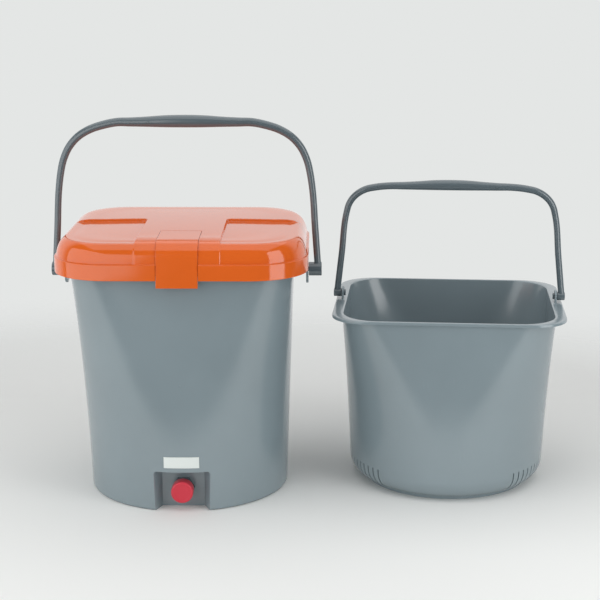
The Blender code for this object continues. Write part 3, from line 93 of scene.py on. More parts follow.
# Sizes of the bin's smaller features
BASE_FILLET = 0.004
RIM_EDGE_RADIUS = 0.0008
EAR_BOTTOM = 0.263
EAR_SHELF_THICKNESS = 0.003
EAR_EDGE_RADIUS = 0.0005
ALCOVE_WALL = 0.0025
ALCOVE_CORNER = 0.0048
ALCOVE_LIP_FLARE = ((-0.0020, 0.0), (-0.0004, 0.0005), (0.0010, 0.0016), (0.0130, 0.0075))
HINGE_BORE_RADIUS = 0.0022
HINGE_BARREL_RADIUS = 0.0042
HINGE_LUG_INNER = 0.022
HINGE_LUG_OUTER = 0.032
HINGE_LUG_BOTTOM = 0.284
HINGE_LUG_SHOULDER = 0.291
CATCH_HALF_WIDTH = 0.019
CATCH_RELIEF_DEGREES = 8.0
BODY_MARK_HEIGHT = 0.162
ALCOVE_ARC_STEPS = 10
LABEL_SEGMENTS = (40, 6)

# Sizes of the lid's smaller features
LID_BAND_STEP = 0.0025
LID_BAND_EDGE = 0.0006
LID_SIDE_LEAN_SHARES = (
    (0.0, 0.0), (0.04, 0.22), (0.12, 0.44), (0.25, 0.65), (0.44, 0.82), (0.70, 0.945), (1.0, 1.0)
)
LID_CROWN_CORNER_SHARE = 0.9
LID_SIDE_STEPS = 5
LID_CROWN_SHARES = ((0.2, 0.36), (0.4, 0.64), (0.6, 0.84), (0.8, 0.96), (0.95, 1.0))
LID_EDGE_RADIUS = 0.0007
LID_LEDGE_LOW = 0.3036
LID_LEDGE_THICKNESS = 0.002
LID_LEDGE_REACH = 0.0065
PANEL_CORNER = 0.0085
PANEL_RISER = 0.0022
PANEL_LINES = 18
PANEL_FLOOR_BLEND = 0.0012

# Sizes of the latch's smaller features
LATCH_BEND_RADIUS = 0.0225
LATCH_BEND_Y = -0.1180
LATCH_BEND_TOP = 0.3417
LATCH_LEAN_DEGREES = 5.8
LATCH_FOOT_HEIGHT = 0.2867
LATCH_BARREL_RADIUS = 0.0027
LATCH_PIN_RADIUS = 0.0012
LATCH_BORE_RADIUS = 0.0015
LATCH_SWING_ROOM = 0.0009
LATCH_LUG_WIDTH = 0.005
LATCH_LUG_RADIUS = 0.0042
LATCH_NOSE_REACH = 0.0047
LATCH_NOSE_TIP_HEIGHT = 0.0032
LATCH_EDGE_RADIUS = 0.0005
LATCH_ARC_STEPS = 28
KNUCKLE_ARC_DEGREES = (-60, 90)

# Drain
SPOUT_OUTER_RADIUS = 0.0088
SPOUT_END_Y = -0.1236
CAP_FACE_RADIUS = 0.0123
CAP_LENGTH = 0.0150
CAP_SEAL_THICKNESS = 0.0012
CAP_FACE_THICKNESS = 0.0020
CAP_BORE_CLEARANCE = 0.0005
CAP_DISH = 0.0004

# Bends of the bails, as shares of the way in and up from the legs to the bars
BAIL_BEND_SHARES = (
    (0.030, 0.194), (0.0885, 0.424), (0.1915, 0.624), (0.346, 0.782), (0.544, 0.891), (0.762, 0.9575),
)
BUCKET_BAIL_BEND_SHARES = ((0.042, 0.259), (0.119, 0.4885), (0.2455, 0.695), (0.421, 0.856), (0.649, 0.9425))
GRIP_SWELL_SHARES = ((0.8, 0.15), (0.55, 0.45), (0.3, 0.85))
BAIL_HOLE_RADIUS = 0.0034
BAIL_PIN_END = 0.1660
BAIL_MARK_PLACES = (-0.0447, 0.0447)
BUCKET_BAIL_HOLE_RADIUS = 0.0026
BUCKET_BAIL_PIN_END = 0.1455
BUCKET_BAIL_MARK_PLACES = (0.058,)
BAIL_RUN_STEPS = 8
BAIL_SIDES = 40
BOSS_EDGE_RADIUS = 0.0007
GATE_MARK_RADIUS = 0.0016
GATE_MARK_HEIGHT = 0.0006
GATE_MARK_SIDES = 24

# The bucket's round bottom, its rim and its drain slots
BUCKET_EDGE_SHARE = 0.2
BUCKET_RIM_OUTER_EDGES = 2.6
BUCKET_RIM_INNER_EDGES = 2
BUCKET_FILLET_STEPS = 12
BUCKET_FILLET_START = 0.14
BUCKET_FIRST_RING = 4
SLOT_GROUP_AZIMUTH_DEGREES = 34.0
SLOT_PITCH_DEGREES = 4.4
SLOTS_IN_GROUP = 7


def length(name, text, value):
    """A size of the object as a property."""
    return FloatProperty(name=name, description=text, default=value, min=0.0, unit="LENGTH", precision=4)


def colour(name, text, value):
    """A colour of the object as a property, given as sRGB."""
    return FloatVectorProperty(
        name=name, description=text, default=value, min=0.0, max=1.0, size=3, subtype="COLOR_GAMMA"
    )


class BinSizes(PropertyGroup):
    """Sizes of the bin's body"""
    height: length("Height", "From the flat base to the top of the flange", 0.300)
    base_radius: length("Base radius", "Radius of the round base", 0.127)
    rim_half_width: length("Rim half width", "Half the wall's width under the flange", 0.1365)
    rim_half_depth: length("Rim half depth", "Half the wall's depth under the flange", 0.130)
    rim_corner: length("Rim corner", "Corner radius of the wall at the rim", 0.053)
    wall: length("Wall", "Thickness of the side wall", 0.002)
    floor: length("Floor", "Thickness of the floor", 0.003)
    flange_half_width: length("Flange half width", "Half the width over the flange", 0.1515)
    flange_half_depth: length("Flange half depth", "Half the depth over the flange", 0.139)
    flange_corner: length("Flange corner", "Corner radius of the flange", 0.069)
    flange_thickness: length("Flange thickness", "Thickness of the flange", 0.002)
    ear_half_span: length("Ear half span", "From the middle to the outside of an ear", 0.155)
    ear_thickness: length("Ear thickness", "Thickness of an ear", 0.003)
    ear_half_width: length("Ear half width", "Half the width of an ear", 0.011)
    alcove_front: length("Alcove front", "Half the alcove's width at the front", 0.034)
    alcove_back: length("Alcove back", "Half the alcove's width at its back wall", 0.0263)
    alcove_back_depth: length("Alcove back depth", "From the middle to the alcove's back wall", 0.1035)
    alcove_height: length("Alcove height", "Height of the alcove", 0.0515)
    drain_height: length("Drain height", "Height of the drain's axis", 0.025)
    cap_radius: length("Cap radius", "Radius of the drain cap", 0.0137)
    label_half_width: length("Label half width", "Half the width of the label", 0.0218)
    label_low: length("Label low", "Height of the label's lower edge", 0.0572)
    label_high: length("Label high", "Height of the label's upper edge", 0.0714)


class LidSizes(PropertyGroup):
    """Sizes of the lid and its latch"""
    half_width: length("Half width", "Half the lid's width", 0.1555)
    half_depth: length("Half depth", "Half the lid's depth", 0.1425)
    corner: length("Corner", "Corner radius of the lid", 0.0715)
    bottom: length("Bottom", "Height of the lid's lower edge", 0.295)
    band_top: length("Band top", "Height of the top of the skirt's band", 0.314)
    shoulder_inset: length("Shoulder inset", "How far the shoulder reaches inward", 0.025)
    shoulder_top: length("Shoulder top", "Height where the shoulder ends", 0.3410)
    crown: length("Crown", "Rise of the top above the shoulder", 0.0018)
    wall: length("Wall", "Thickness of the lid", 0.0022)
    panel_inner: length("Panel inner edge", "From the middle to a lowered panel", 0.050)
    panel_back: length("Panel back edge", "From the middle back to a lowered panel's end", 0.018)
    panel_drop: length("Panel drop", "Depth of a lowered panel on top", 0.0034)
    panel_front_drop: length("Panel front drop", "Depth of a lowered panel at the front", 0.0010)
    latch_half_width: length("Latch half width", "Half the latch's width", 0.025)
    latch_thickness: length("Latch thickness", "Thickness of the latch", 0.0022)
    latch_top: length("Latch top", "Height of the latch's upper end", 0.3427)
    latch_gap: length("Latch gap", "Gap between the latch and its slot", 0.0004)


class BailSizes(PropertyGroup):
    """Sizes of the bin's bail"""
    boss_radius: length("Boss radius", "Radius of the bosses at its feet", 0.00875)
    boss_inner: length("Boss inner end", "From the middle to a boss's inner end", 0.1555)
    boss_outer: length("Boss outer end", "From the middle to a boss's outer end", 0.1718)
    foot: length("Foot", "From the middle to a leg's foot", 0.1672)
    leg_top: length("Leg top", "From the middle to a leg's upper end", 0.1597)
    leg_top_height: length("Leg top height", "Height of a leg's upper end", 0.385)
    bar_half_length: length("Bar half length", "From the middle to the end of the bar", 0.084)
    bar_height: length("Bar height", "Height of the bar's ends", 0.4675)
    grip_height: length("Grip height", "Height of the grip's middle", 0.4688)
    leg_radius: length("Leg radius", "Radius of a leg", 0.0043)
    bar_radius: length("Bar radius", "Radius of the bar's ends", 0.0054)
    grip_radius: length("Grip radius", "Radius of the swollen grip", 0.0079)


class BucketBailSizes(PropertyGroup):
    """Sizes of the bucket's bail"""
    boss_radius: length("Boss radius", "Radius of the bosses at its feet", 0.0052)
    foot: length("Foot", "From the middle to a leg's foot", 0.1449)
    leg_top: length("Leg top", "From the middle to a leg's upper end", 0.1330)
    leg_top_height: length("Leg top height", "Height of a leg's upper end", 0.3480)
    bar_half_length: length("Bar half length", "From the middle to the end of the bar", 0.076)
    bar_height: length("Bar height", "Height of the bar's ends", 0.3828)
    grip_height: length("Grip height", "Height of the grip's middle", 0.3845)
    leg_radius: length("Leg radius", "Radius of a leg", 0.0041)
    bar_radius: length("Bar radius", "Radius of the bar's ends", 0.0046)
    grip_radius: length("Grip radius", "Radius of the swollen grip", 0.0067)


class BucketSizes(PropertyGroup):
    """Sizes of the inner bucket"""
    height: length("Height", "From the foot to the rim", 0.2346)
    base_radius: length("Base radius", "Radius that the walls spring from", 0.1248)
    nest_gap: length("Nest gap", "Gap to the bin's wall when the bucket hangs in it", 0.0010)
    rim_corner: length("Rim corner", "Corner radius of the wall at the rim", 0.0495)
    wall: length("Wall", "Thickness of the wall", 0.0018)
    floor: length("Floor", "Thickness of the floor", 0.0022)
    fillet: length("Fillet", "Radius of the round between the floor and the wall", 0.024)
    flange_half_width: length("Flange half width", "Half the width over the rim", 0.1457)
    flange_half_depth: length("Flange half depth", "Half the depth over the rim", 0.1295)
    flange_corner: length("Flange corner", "Corner radius of the rim", 0.0450)
    flange_thickness: length("Flange thickness", "Thickness of the rim's flange", 0.0018)
    lip: length("Lip", "Height of the rim's turned-down lip", 0.0040)
    foot_radius: length("Foot radius", "Radius of the foot ring", 0.106)
    foot_width: length("Foot width", "Width of the foot ring", 0.003)
    foot_height: length("Foot height", "Height of the foot ring", 0.0035)
    ear_half_span: length("Ear half span", "From the middle to the outside of an ear", 0.1385)
    ear_thickness: length("Ear thickness", "Thickness of an ear", 0.0025)
    ear_half_width: length("Ear half width", "Half the width of an ear", 0.008)
    slot_width: length("Slot width", "Width of a drain slot", 0.0018)
    slot_low: length("Slot low", "Height where a drain slot starts", 0.0080)
    slot_high: length("Slot high", "Height where a drain slot ends", 0.0320)
    slot_inner: length("Slot inner radius", "Radius where a drain slot starts", 0.109)


class FinishColours(PropertyGroup):
    """Colours of the plastics and of the stage"""
    grey: colour("Grey", "The bin's and the bucket's plastic", (0.507, 0.563, 0.586))
    dark: colour("Dark grey", "The bails, the spout and the pins", (0.345, 0.392, 0.415))
    orange: colour("Orange", "The lid and its latch", (0.862, 0.385, 0.120))
    red: colour("Red", "The drain cap", (0.800, 0.190, 0.260))
    label: colour("Label", "The blank label", (0.885, 0.910, 0.900))
    rubber: colour("Rubber", "The gasket and the washers", (0.070, 0.070, 0.075))
    floor: colour("Floor", "The floor", (0.945, 0.950, 0.943))


def bin_sizes():
    return bpy.context.scene.waste_bin_sizes


def lid_sizes():
    return bpy.context.scene.waste_lid_sizes


def bail_sizes():
    return bpy.context.scene.waste_bail_sizes


def bucket_bail_sizes():
    return bpy.context.scene.waste_bucket_bail_sizes


def bucket_sizes():
    return bpy.context.scene.waste_bucket_sizes


def colours():
    return bpy.context.scene.waste_bin_colours


# Profiles and plan outlines

def plan_reach(angle, half_width, half_depth, corner):
    """How far a rounded rectangle reaches from its middle at a polar angle."""
    corner = max(0.0, min(corner, half_width, half_depth))
    inner_width = half_width - corner
    inner_depth = half_depth - corner
    along, across = abs(math.cos(angle)), abs(math.sin(angle))
    if half_width * across <= inner_depth * along:
        return half_width / along
    if half_depth * along <= inner_width * across:
        return half_depth / across
    middle = along * inner_width + across * inner_depth
    return middle + math.sqrt(middle ** 2 - inner_width ** 2 - inner_depth ** 2 + corner ** 2)


def station(half_width, half_depth, corner, height, inset=0.0):
    """One plan outline of a wall as a vector: half width, half depth, corner radius and height."""
    return Vector((half_width - inset, half_depth - inset, corner - inset, height))


def rounded(corners, steps=ROUND_STEPS, across=1):
    """A run of places with its corners rounded. A corner is a place, or a place and its radius."""
    run = []
    last = len(corners) - 1
    for index, (place, radius) in enumerate(corners):
        if radius == 0 or index in (0, last):
            run.append(place)
            continue
        ends = []
        for other in (corners[index - 1][0], corners[index + 1][0]):
            stride = math.hypot(place[across] - other[across], place[-1] - other[-1])
            ends.append(place.lerp(other, min(radius / stride, 0.5)))
        for step in range(steps + 1):
            share = step / steps
            run.append((1 - share) ** 2 * ends[0] + 2 * share * (1 - share) * place + share ** 2 * ends[1])
    return run


def smooth_run(places, steps):
    """Places along a smooth curve through the given ones, by their distances."""
    gaps = [(after - before).length for before, after in zip(places[:-1], places[1:])]
    slopes = [(places[1] - places[0]) / gaps[0]]
    for index in range(1, len(places) - 1):
        before = (places[index] - places[index - 1]) / gaps[index - 1]
        after = (places[index + 1] - places[index]) / gaps[index]
        slopes.append((before * gaps[index] + after * gaps[index - 1]) / (gaps[index] + gaps[index - 1]))
    slopes.append((places[-1] - places[-2]) / gaps[-1])
    run = []
    for index, gap in enumerate(gaps):
        for step in range(steps):
            t = step / steps
            run.append(
                (2 * t ** 3 - 3 * t ** 2 + 1) * places[index]
                + (t ** 3 - 2 * t ** 2 + t) * gap * slopes[index]
                + (3 * t ** 2 - 2 * t ** 3) * places[index + 1]
                + (t ** 3 - t ** 2) * gap * slopes[index + 1]
            )
    return run + [places[-1]]


def arc(middle, radius, start_degrees, end_degrees, steps=ARC_STEPS):
    """Points along an arc in a flat outline, both ends included."""
    points = []
    for step in range(steps + 1):
        angle = math.radians(start_degrees + (end_degrees - start_degrees) * step / steps)
        points.append((middle[0] + radius * math.cos(angle), middle[1] + radius * math.sin(angle)))
    return points


# Shapes made with mesh operators

def made_verts(made):
    return [thing for thing in made["geom"] if isinstance(thing, bmesh.types.BMVert)]


def made_ring(made):
    """The edges that join the new vertices of an extrusion."""
    verts = set(made_verts(made))
    edges = [thing for thing in made["geom"] if isinstance(thing, bmesh.types.BMEdge)]
    return [edge for edge in edges if verts.issuperset(edge.verts)]


def place_ring(verts, outline):
    half_width, half_depth, corner, height = outline
    for vert in verts:
        angle = math.atan2(vert.co.y, vert.co.x)
        reach = plan_reach(angle, half_width, half_depth, corner)
        vert.co = (reach * math.cos(angle), reach * math.sin(angle), height)


def loft(stations, closed=False):
    """A ring extruded from station to station, then capped at its ends or closed on itself."""
    shape = bmesh.new()
    bmesh.ops.create_circle(shape, segments=RING_POINTS, radius=1.0)
    shape.verts.ensure_lookup_table()
    for step, vert in enumerate(shape.verts):
        even = math.tau * (step + 0.5) / RING_POINTS
        angle = even + CORNER_CROWDING_SHARE * math.sin(4 * even) / 4
        vert.co = (math.cos(angle), math.sin(angle), 0)
    place_ring(shape.verts, stations[0])
    first = list(shape.edges)
    edges = first
    for outline in stations[1:]:
        made = bmesh.ops.extrude_edge_only(shape, edges=edges)
        edges = made_ring(made)
        place_ring(made_verts(made), outline)
    if closed:
        bmesh.ops.bridge_loops(shape, edges=first + edges)
    else:
        bmesh.ops.contextual_create(shape, geom=first)
        bmesh.ops.contextual_create(shape, geom=edges)
    bmesh.ops.recalc_face_normals(shape, faces=shape.faces)
    return shape


def bevel(shape, edges, radius, segments=3):
    bmesh.ops.bevel(
        shape, geom=edges, offset=radius, offset_type="OFFSET", segments=segments, profile=0.5,
        affect="EDGES", material=-1, clamp_overlap=True,
    )
    return shape


def slab(points, middle_x, thickness, edge_radius=0.0):
    """A plate across X from its outline as (y, height), with its rims rounded."""
    shape = bmesh.new()
    face = shape.faces.new([shape.verts.new((middle_x - thickness / 2, y, z)) for y, z in points])
    made = bmesh.ops.extrude_face_region(shape, geom=[face])
    bmesh.ops.translate(shape, vec=(thickness, 0, 0), verts=made_verts(made))
    bmesh.ops.recalc_face_normals(shape, faces=shape.faces)
    if edge_radius:
        rims = [edge for edge in shape.edges if abs(edge.verts[0].co.x - edge.verts[1].co.x) < thickness / 2]
        bevel(shape, rims, edge_radius)
    return shape


def box(low, high):
    shape = bmesh.new()
    bmesh.ops.create_cube(shape, size=1.0)
    low, high = Vector(low), Vector(high)
    bmesh.ops.scale(shape, vec=high - low, verts=shape.verts)
    bmesh.ops.translate(shape, vec=(low + high) / 2, verts=shape.verts)
    return shape


def rod(start, end, radius, edge_radius=0.0, sides=ROD_SIDES):
    """A cylinder from one point to another, with its ends rounded."""
    start, end = Vector(start), Vector(end)
    shape = bmesh.new()
    bmesh.ops.create_cone(
        shape, cap_ends=True, segments=sides, radius1=radius, radius2=radius, depth=(end - start).length
    )
    if edge_radius:
        rims = [edge for edge in shape.edges if any(len(face.verts) == sides for face in edge.link_faces)]
        bevel(shape, rims, edge_radius)
    turn = Vector((0, 0, 1)).rotation_difference(end - start).to_matrix().to_4x4()
    bmesh.ops.transform(shape, matrix=Matrix.Translation((start + end) / 2) @ turn, verts=shape.verts)
    return shape


def axle(pivot, half_length, radius, edge_radius=0.0):
    """A rod across X with its middle on a pivot."""
    reach = Vector((half_length, 0, 0))
    return rod(pivot - reach, pivot + reach, radius, edge_radius)


def gate_mark(start, end):
    """A small round mark that the mould's gate leaves."""
    return rod(start, end, GATE_MARK_RADIUS, GATE_MARK_HEIGHT / 2, GATE_MARK_SIDES)


def turned(profile, place, direction):
    """A profile of (radius, reach) spun around a direction from a place."""
    shape = bmesh.new()
    verts = [shape.verts.new((radius, 0, reach)) for radius, reach in profile]
    edges = [shape.edges.new(pair) for pair in zip(verts[:-1], verts[1:])]
    if profile[0][0] or profile[-1][0]:
        edges.append(shape.edges.new((verts[-1], verts[0])))
    bmesh.ops.spin(
        shape, geom=verts + edges, axis=(0, 0, 1), cent=(0, 0, 0), angle=math.tau, steps=TURNED_SIDES,
        use_merge=True,
    )
    bmesh.ops.remove_doubles(shape, verts=shape.verts, dist=WELD_DISTANCE)
    bmesh.ops.recalc_face_normals(shape, faces=shape.faces)
    turn = Vector((0, 0, 1)).rotation_difference(Vector(direction)).to_matrix().to_4x4()
    bmesh.ops.transform(shape, matrix=Matrix.Translation(place) @ turn, verts=shape.verts)
    return shape


def tube(path):
    """A round tube along places of (x, height, radius) in the plane of X and Z."""
    count = len(path)
    frames = []
    for index, (x, z, radius) in enumerate(path):
        before, after = path[max(index - 1, 0)], path[min(index + 1, count - 1)]
        along = Vector((after[0] - before[0], 0, after[1] - before[1])).normalized()
        across = Vector((0, 1, 0)).cross(along)
        turn = Matrix((across, Vector((0, 1, 0)), along)).transposed().to_4x4()
        frames.append(Matrix.Translation((x, 0, z)) @ turn @ Matrix.Scale(radius, 4))
    shape = bmesh.new()
    bmesh.ops.create_circle(shape, segments=BAIL_SIDES, radius=1.0, matrix=frames[0])
    first = list(shape.edges)
    edges = first
    for before, after in zip(frames[:-1], frames[1:]):
        made = bmesh.ops.extrude_edge_only(shape, edges=edges)
        edges = made_ring(made)
        bmesh.ops.transform(shape, matrix=after @ before.inverted(), verts=made_verts(made))
    bmesh.ops.contextual_create(shape, geom=first)
    bmesh.ops.contextual_create(shape, geom=edges)
    bmesh.ops.recalc_face_normals(shape, faces=shape.faces)
    return shape


def moved(shape, matrix):
    bmesh.ops.transform(shape, matrix=matrix, verts=shape.verts)
    return shape


def mesh_of(name, shape):
    mesh = bpy.data.meshes.new(name)
    shape.to_mesh(mesh)
    shape.free()
    return mesh


def carve(shape, tool, operation="DIFFERENCE"):
    """The shape less the tool, joined with it, or kept where it meets it. Both are used up."""
    body = bpy.data.objects.new("carved", mesh_of("carved", shape))
    other = bpy.data.objects.new("carver", mesh_of("carver", tool))
    for thing in (body, other):
        bpy.context.scene.collection.objects.link(thing)
    modifier = body.modifiers.new("carve", "BOOLEAN")
    modifier.operation = operation
    modifier.object = other
    modifier.solver = "EXACT"
    bpy.context.view_layer.update()
    evaluated = body.evaluated_get(bpy.context.evaluated_depsgraph_get())
    result = bmesh.new()
    result.from_mesh(evaluated.to_mesh())
    evaluated.to_mesh_clear()
    for thing in (body, other):
        mesh = thing.data
        bpy.data.objects.remove(thing)
        bpy.data.meshes.remove(mesh)
    return result


def joined(shape, tool):
    return carve(shape, tool, "UNION")


def bored(shape, side, middle, thickness, height, radius):
    """A shape with a bore across X through one of its ears."""
    start, end = [Vector((side * (middle + reach), 0, height)) for reach in (-thickness, thickness)]
    return carve(shape, rod(start, end, radius))


def finish_piece(name, shape, body, material, replaces):
    """The shape as a shown piece of the object, hung on its body, with the frame's meshes that it replaces
    hidden.
    """
    bmesh.ops.remove_doubles(shape, verts=shape.verts, dist=WELD_DISTANCE)
    mesh = mesh_of(name, shape)
    mesh.materials.append(material)
    mesh.shade_smooth()
    mesh.set_sharp_from_angle(angle=math.radians(SHARP_DEGREES))
    piece = bpy.data.objects.new(name, mesh)
    bpy.context.scene.collection.objects.link(piece)
    modifier = piece.modifiers.new("even shading", "WEIGHTED_NORMAL")
    modifier.mode = "FACE_AREA"
    modifier.keep_sharp = True
    bpy.context.view_layer.update()
    graph = bpy.context.evaluated_depsgraph_get()
    piece.data = bpy.data.meshes.new_from_object(piece.evaluated_get(graph), depsgraph=graph)
    piece.modifiers.clear()
    bpy.data.meshes.remove(mesh)
    piece.data.name = name
    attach(piece, body)
    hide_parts(*replaces)


# Bin body

def flared(base, rim, share, height, inset):
    """A wall's outline on its way from a round base to the rim's half width, half depth and corner."""
    parts = (share, share, max(share, 0) ** CORNER_POWER)
    return station(*[base + (end - base) * part for end, part in zip(rim, parts)], height, inset)


def bin_plan(height, inset):
    sizes = bin_sizes()
    rim = (sizes.rim_half_width, sizes.rim_half_depth, sizes.rim_corner)
    return flared(sizes.base_radius, rim, height / sizes.height, height, inset)


def bin_flange(height, inset=0.0):
    sizes = bin_sizes()
    return station(sizes.flange_half_width, sizes.flange_half_depth, sizes.flange_corner, height, inset)


def bin_skin():
    """The outside of the bin filled solid: base, wall and flange."""
    sizes = bin_sizes()
    under = sizes.height - sizes.flange_thickness
    corners = [(bin_plan(0, FLAT_RING_EDGES * BASE_FILLET), 0), (bin_plan(0, 0), BASE_FILLET)]
    corners += [(bin_plan(under * step / WALL_RINGS, 0), 0) for step in range(1, WALL_RINGS)]
    corners += [(bin_plan(under, 0), RIM_EDGE_RADIUS)]
    corners += [(bin_flange(under), RIM_EDGE_RADIUS), (bin_flange(sizes.height), RIM_EDGE_RADIUS)]
    corners += [(bin_plan(sizes.height, -RIM_EDGE_RADIUS), 0)]
    return loft(rounded(corners, WALL_ROUND_STEPS))


def bin_hollow():
    """The space inside the bin, open above and rounded at its mouth."""
    sizes = bin_sizes()
    corners = [(bin_plan(sizes.floor, sizes.wall + FLAT_RING_EDGES * BASE_FILLET), 0)]
    corners += [(bin_plan(sizes.floor, sizes.wall), BASE_FILLET)]
    for step in range(1, WALL_RINGS):
        corners.append((bin_plan(sizes.height * step / WALL_RINGS, sizes.wall), 0))
    mouth = sizes.wall - 2 * RIM_EDGE_RADIUS
    corners += [(bin_plan(sizes.height, sizes.wall), RIM_EDGE_RADIUS)]
    corners += [(bin_plan(sizes.height + RIM_EDGE_RADIUS / 4, mouth), 0)]
    corners += [(bin_plan(sizes.height + CUT_OVERRUN, mouth), 0)]
    return loft(rounded(corners, WALL_ROUND_STEPS))


def wall_y(x, height):
    """Where the front of the wall lies at a place across it."""
    plan = bin_plan(height, 0)
    y = -plan[1]
    for _ in range(WALL_SEARCH_ROUNDS):
        angle = math.atan2(y, x)
        y = -plan_reach(angle, plan[0], plan[1], plan[2]) * abs(math.sin(angle))
    return y


def alcove_space(grow):
    """The alcove's space: wider at the front, with rounded upper corners and a softened mouth."""
    sizes = bin_sizes()
    front_y = wall_y(sizes.alcove_front, sizes.alcove_height / 2)
    back_y = -sizes.alcove_back_depth
    top = sizes.alcove_height + grow
    corner = ALCOVE_CORNER + grow
    slope = (sizes.alcove_front - sizes.alcove_back) / (back_y - front_y)

    def half(y):
        return sizes.alcove_back + slope * (back_y - y) + grow

    shape = bmesh.new()
    width = half(back_y + grow)
    points = [(width, -CUT_OVERRUN)] + arc((width - corner, top - corner), corner, 0, 90, ALCOVE_ARC_STEPS)
    points += [(-x, z) for x, z in points[::-1]]
    back = shape.faces.new([shape.verts.new((x, back_y + grow, z)) for x, z in points])
    edges = list(back.edges)
    for reach, flare in ALCOVE_LIP_FLARE:
        y = front_y - reach
        made = bmesh.ops.extrude_edge_only(shape, edges=edges)
        edges = made_ring(made)
        wider = half(y) + flare - width
        for vert in made_verts(made):
            vert.co.y = y
            vert.co.x += math.copysign(wider, vert.co.x)
        width += wider
    bmesh.ops.contextual_create(shape, geom=edges)
    bmesh.ops.recalc_face_normals(shape, faces=shape.faces)
    return shape


def tab_outline(half_width, bottom, top):
    """A tab: square above, half round below."""
    middle = bottom + half_width
    return [(half_width, top), (-half_width, top)] + arc((0, middle), half_width, 180, 360)


def with_ears(body):
    """The ears hang from shelves that run out of the wall at both sides, and carry the bail."""
    sizes = bin_sizes()
    shelf_top = lid_sizes().bottom - RUNNING_GAP
    wall_middle = bin_plan(shelf_top, sizes.wall / 2)[0]
    ear_middle = sizes.ear_half_span - sizes.ear_thickness / 2
    for side in (-1, 1):
        points = tab_outline(sizes.ear_half_width, EAR_BOTTOM, shelf_top)
        body = joined(body, slab(points, side * ear_middle, sizes.ear_thickness, EAR_EDGE_RADIUS))
        inner, outer = sorted((side * wall_middle, side * ear_middle))
        low = (inner, -sizes.ear_half_width, shelf_top - EAR_SHELF_THICKNESS)
        body = joined(body, box(low, (outer, sizes.ear_half_width, shelf_top)))
        body = bored(body, side, ear_middle, sizes.ear_thickness, BAIL_PIVOT.z, BAIL_HOLE_RADIUS)
    return body


def latch_front_y(inset, height):
    """Where the latch's leaning front lies at a height, moved in from its outer surface."""
    lean = math.radians(LATCH_LEAN_DEGREES)
    reach = LATCH_BEND_RADIUS - inset
    bend_end = LATCH_BEND_TOP - LATCH_BEND_RADIUS + reach * math.sin(lean)
    return LATCH_BEND_Y - reach * math.cos(lean) - (bend_end - height) * math.tan(lean)


def nose_tip():
    """The latch's hooked tip, as (y, height)."""
    height = LATCH_FOOT_HEIGHT + LATCH_NOSE_TIP_HEIGHT
    return Vector((latch_front_y(lid_sizes().latch_thickness, height) + LATCH_NOSE_REACH, height))


def latch_release():
    """The way the latch's nose leaves the catch."""
    arm = nose_tip() - Vector((LATCH_PIVOT.y, LATCH_PIVOT.z))
    away = Vector((arm.y, -arm.x)).normalized()
    return Matrix.Rotation(-math.radians(CATCH_RELIEF_DEGREES), 2) @ away


def with_catch(body):
    """The catch under the front of the flange."""
    sizes = bin_sizes()
    slope = latch_release()
    low = nose_tip() + Vector((lid_sizes().latch_gap + SEAT_GAP, 0))
    front = low + slope * ((-sizes.flange_half_depth - low.x) / slope.x)
    top = sizes.height - sizes.flange_thickness / 2
    inside = -bin_plan(low.y, sizes.wall / 2)[1]
    points = [(low.x, low.y), (inside, low.y), (inside, top), (front.x, top), (front.x, front.y)]
    return joined(body, slab(points, 0, 2 * CATCH_HALF_WIDTH))


def with_hinge_lugs(body):
    """Two lugs behind the rim that carry the hinge pin."""
    sizes = bin_sizes()
    inside = bin_plan(HINGE_LUG_SHOULDER, sizes.wall / 2)[1]
    points = [(inside, HINGE_LUG_BOTTOM), (HINGE.y, HINGE_LUG_BOTTOM + BASE_FILLET)]
    points += [(HINGE.y + HINGE_BARREL_RADIUS, HINGE.z - HINGE_BARREL_RADIUS)]
    points += arc((HINGE.y, HINGE.z), HINGE_BARREL_RADIUS, 0, 180)
    points += [(HINGE.y - HINGE_BARREL_RADIUS, HINGE_LUG_SHOULDER), (inside, HINGE_LUG_SHOULDER)]
    width = HINGE_LUG_OUTER - HINGE_LUG_INNER
    for side in (-1, 1):
        middle = side * (HINGE_LUG_OUTER + HINGE_LUG_INNER) / 2
        body = joined(body, slab(points, middle, width, EAR_EDGE_RADIUS))
    return carve(body, axle(HINGE, HINGE_LUG_OUTER + CUT_OVERRUN, HINGE_BORE_RADIUS))


# Lid

def lid_plan(inset, height):
    """Plan outline of the lid, its corners opening out towards the middle of the crown."""
    sizes = lid_sizes()
    plan = station(sizes.half_width, sizes.half_depth, sizes.corner, height, inset)
    crown = (inset - sizes.shoulder_inset) / (sizes.half_depth - sizes.shoulder_inset)
    if crown > 0:
        rim_corner = sizes.corner - sizes.shoulder_inset
        plan[2] = rim_corner * (1 - crown) + LID_CROWN_CORNER_SHARE * plan[1] * crown
    return plan


def lid_stations(drop, deep=False):
    """Outlines of the lid's skin from its lower edge to the crown, moved in by a drop."""
    sizes = lid_sizes()
    radius = LID_EDGE_RADIUS
    low = sizes.bottom - (CUT_OVERRUN if deep else 0)
    rise = sizes.shoulder_top - sizes.band_top - LID_BAND_EDGE
    reach = sizes.shoulder_inset - LID_BAND_STEP
    side = []
    for in_share, up_share in LID_SIDE_LEAN_SHARES:
        inset = LID_BAND_STEP + reach * in_share + drop * (1 - in_share)
        side.append(lid_plan(inset, sizes.band_top + LID_BAND_EDGE + rise * up_share - drop * up_share ** 2))
    across = sizes.half_depth - sizes.shoulder_inset
    for in_share, up_share in LID_CROWN_SHARES:
        height = sizes.shoulder_top + sizes.crown * up_share - drop
        side.append(lid_plan(sizes.shoulder_inset + across * in_share, height))
    side = smooth_run(side, LID_SIDE_STEPS)
    corners = [(lid_plan(drop + 3 * radius, low), 0), (lid_plan(drop, low), 0 if deep else radius)]
    corners += [(lid_plan(drop, sizes.band_top), radius), (side[0], radius)]
    corners += [(place, 0) for place in side[1:]]
    return rounded(corners)


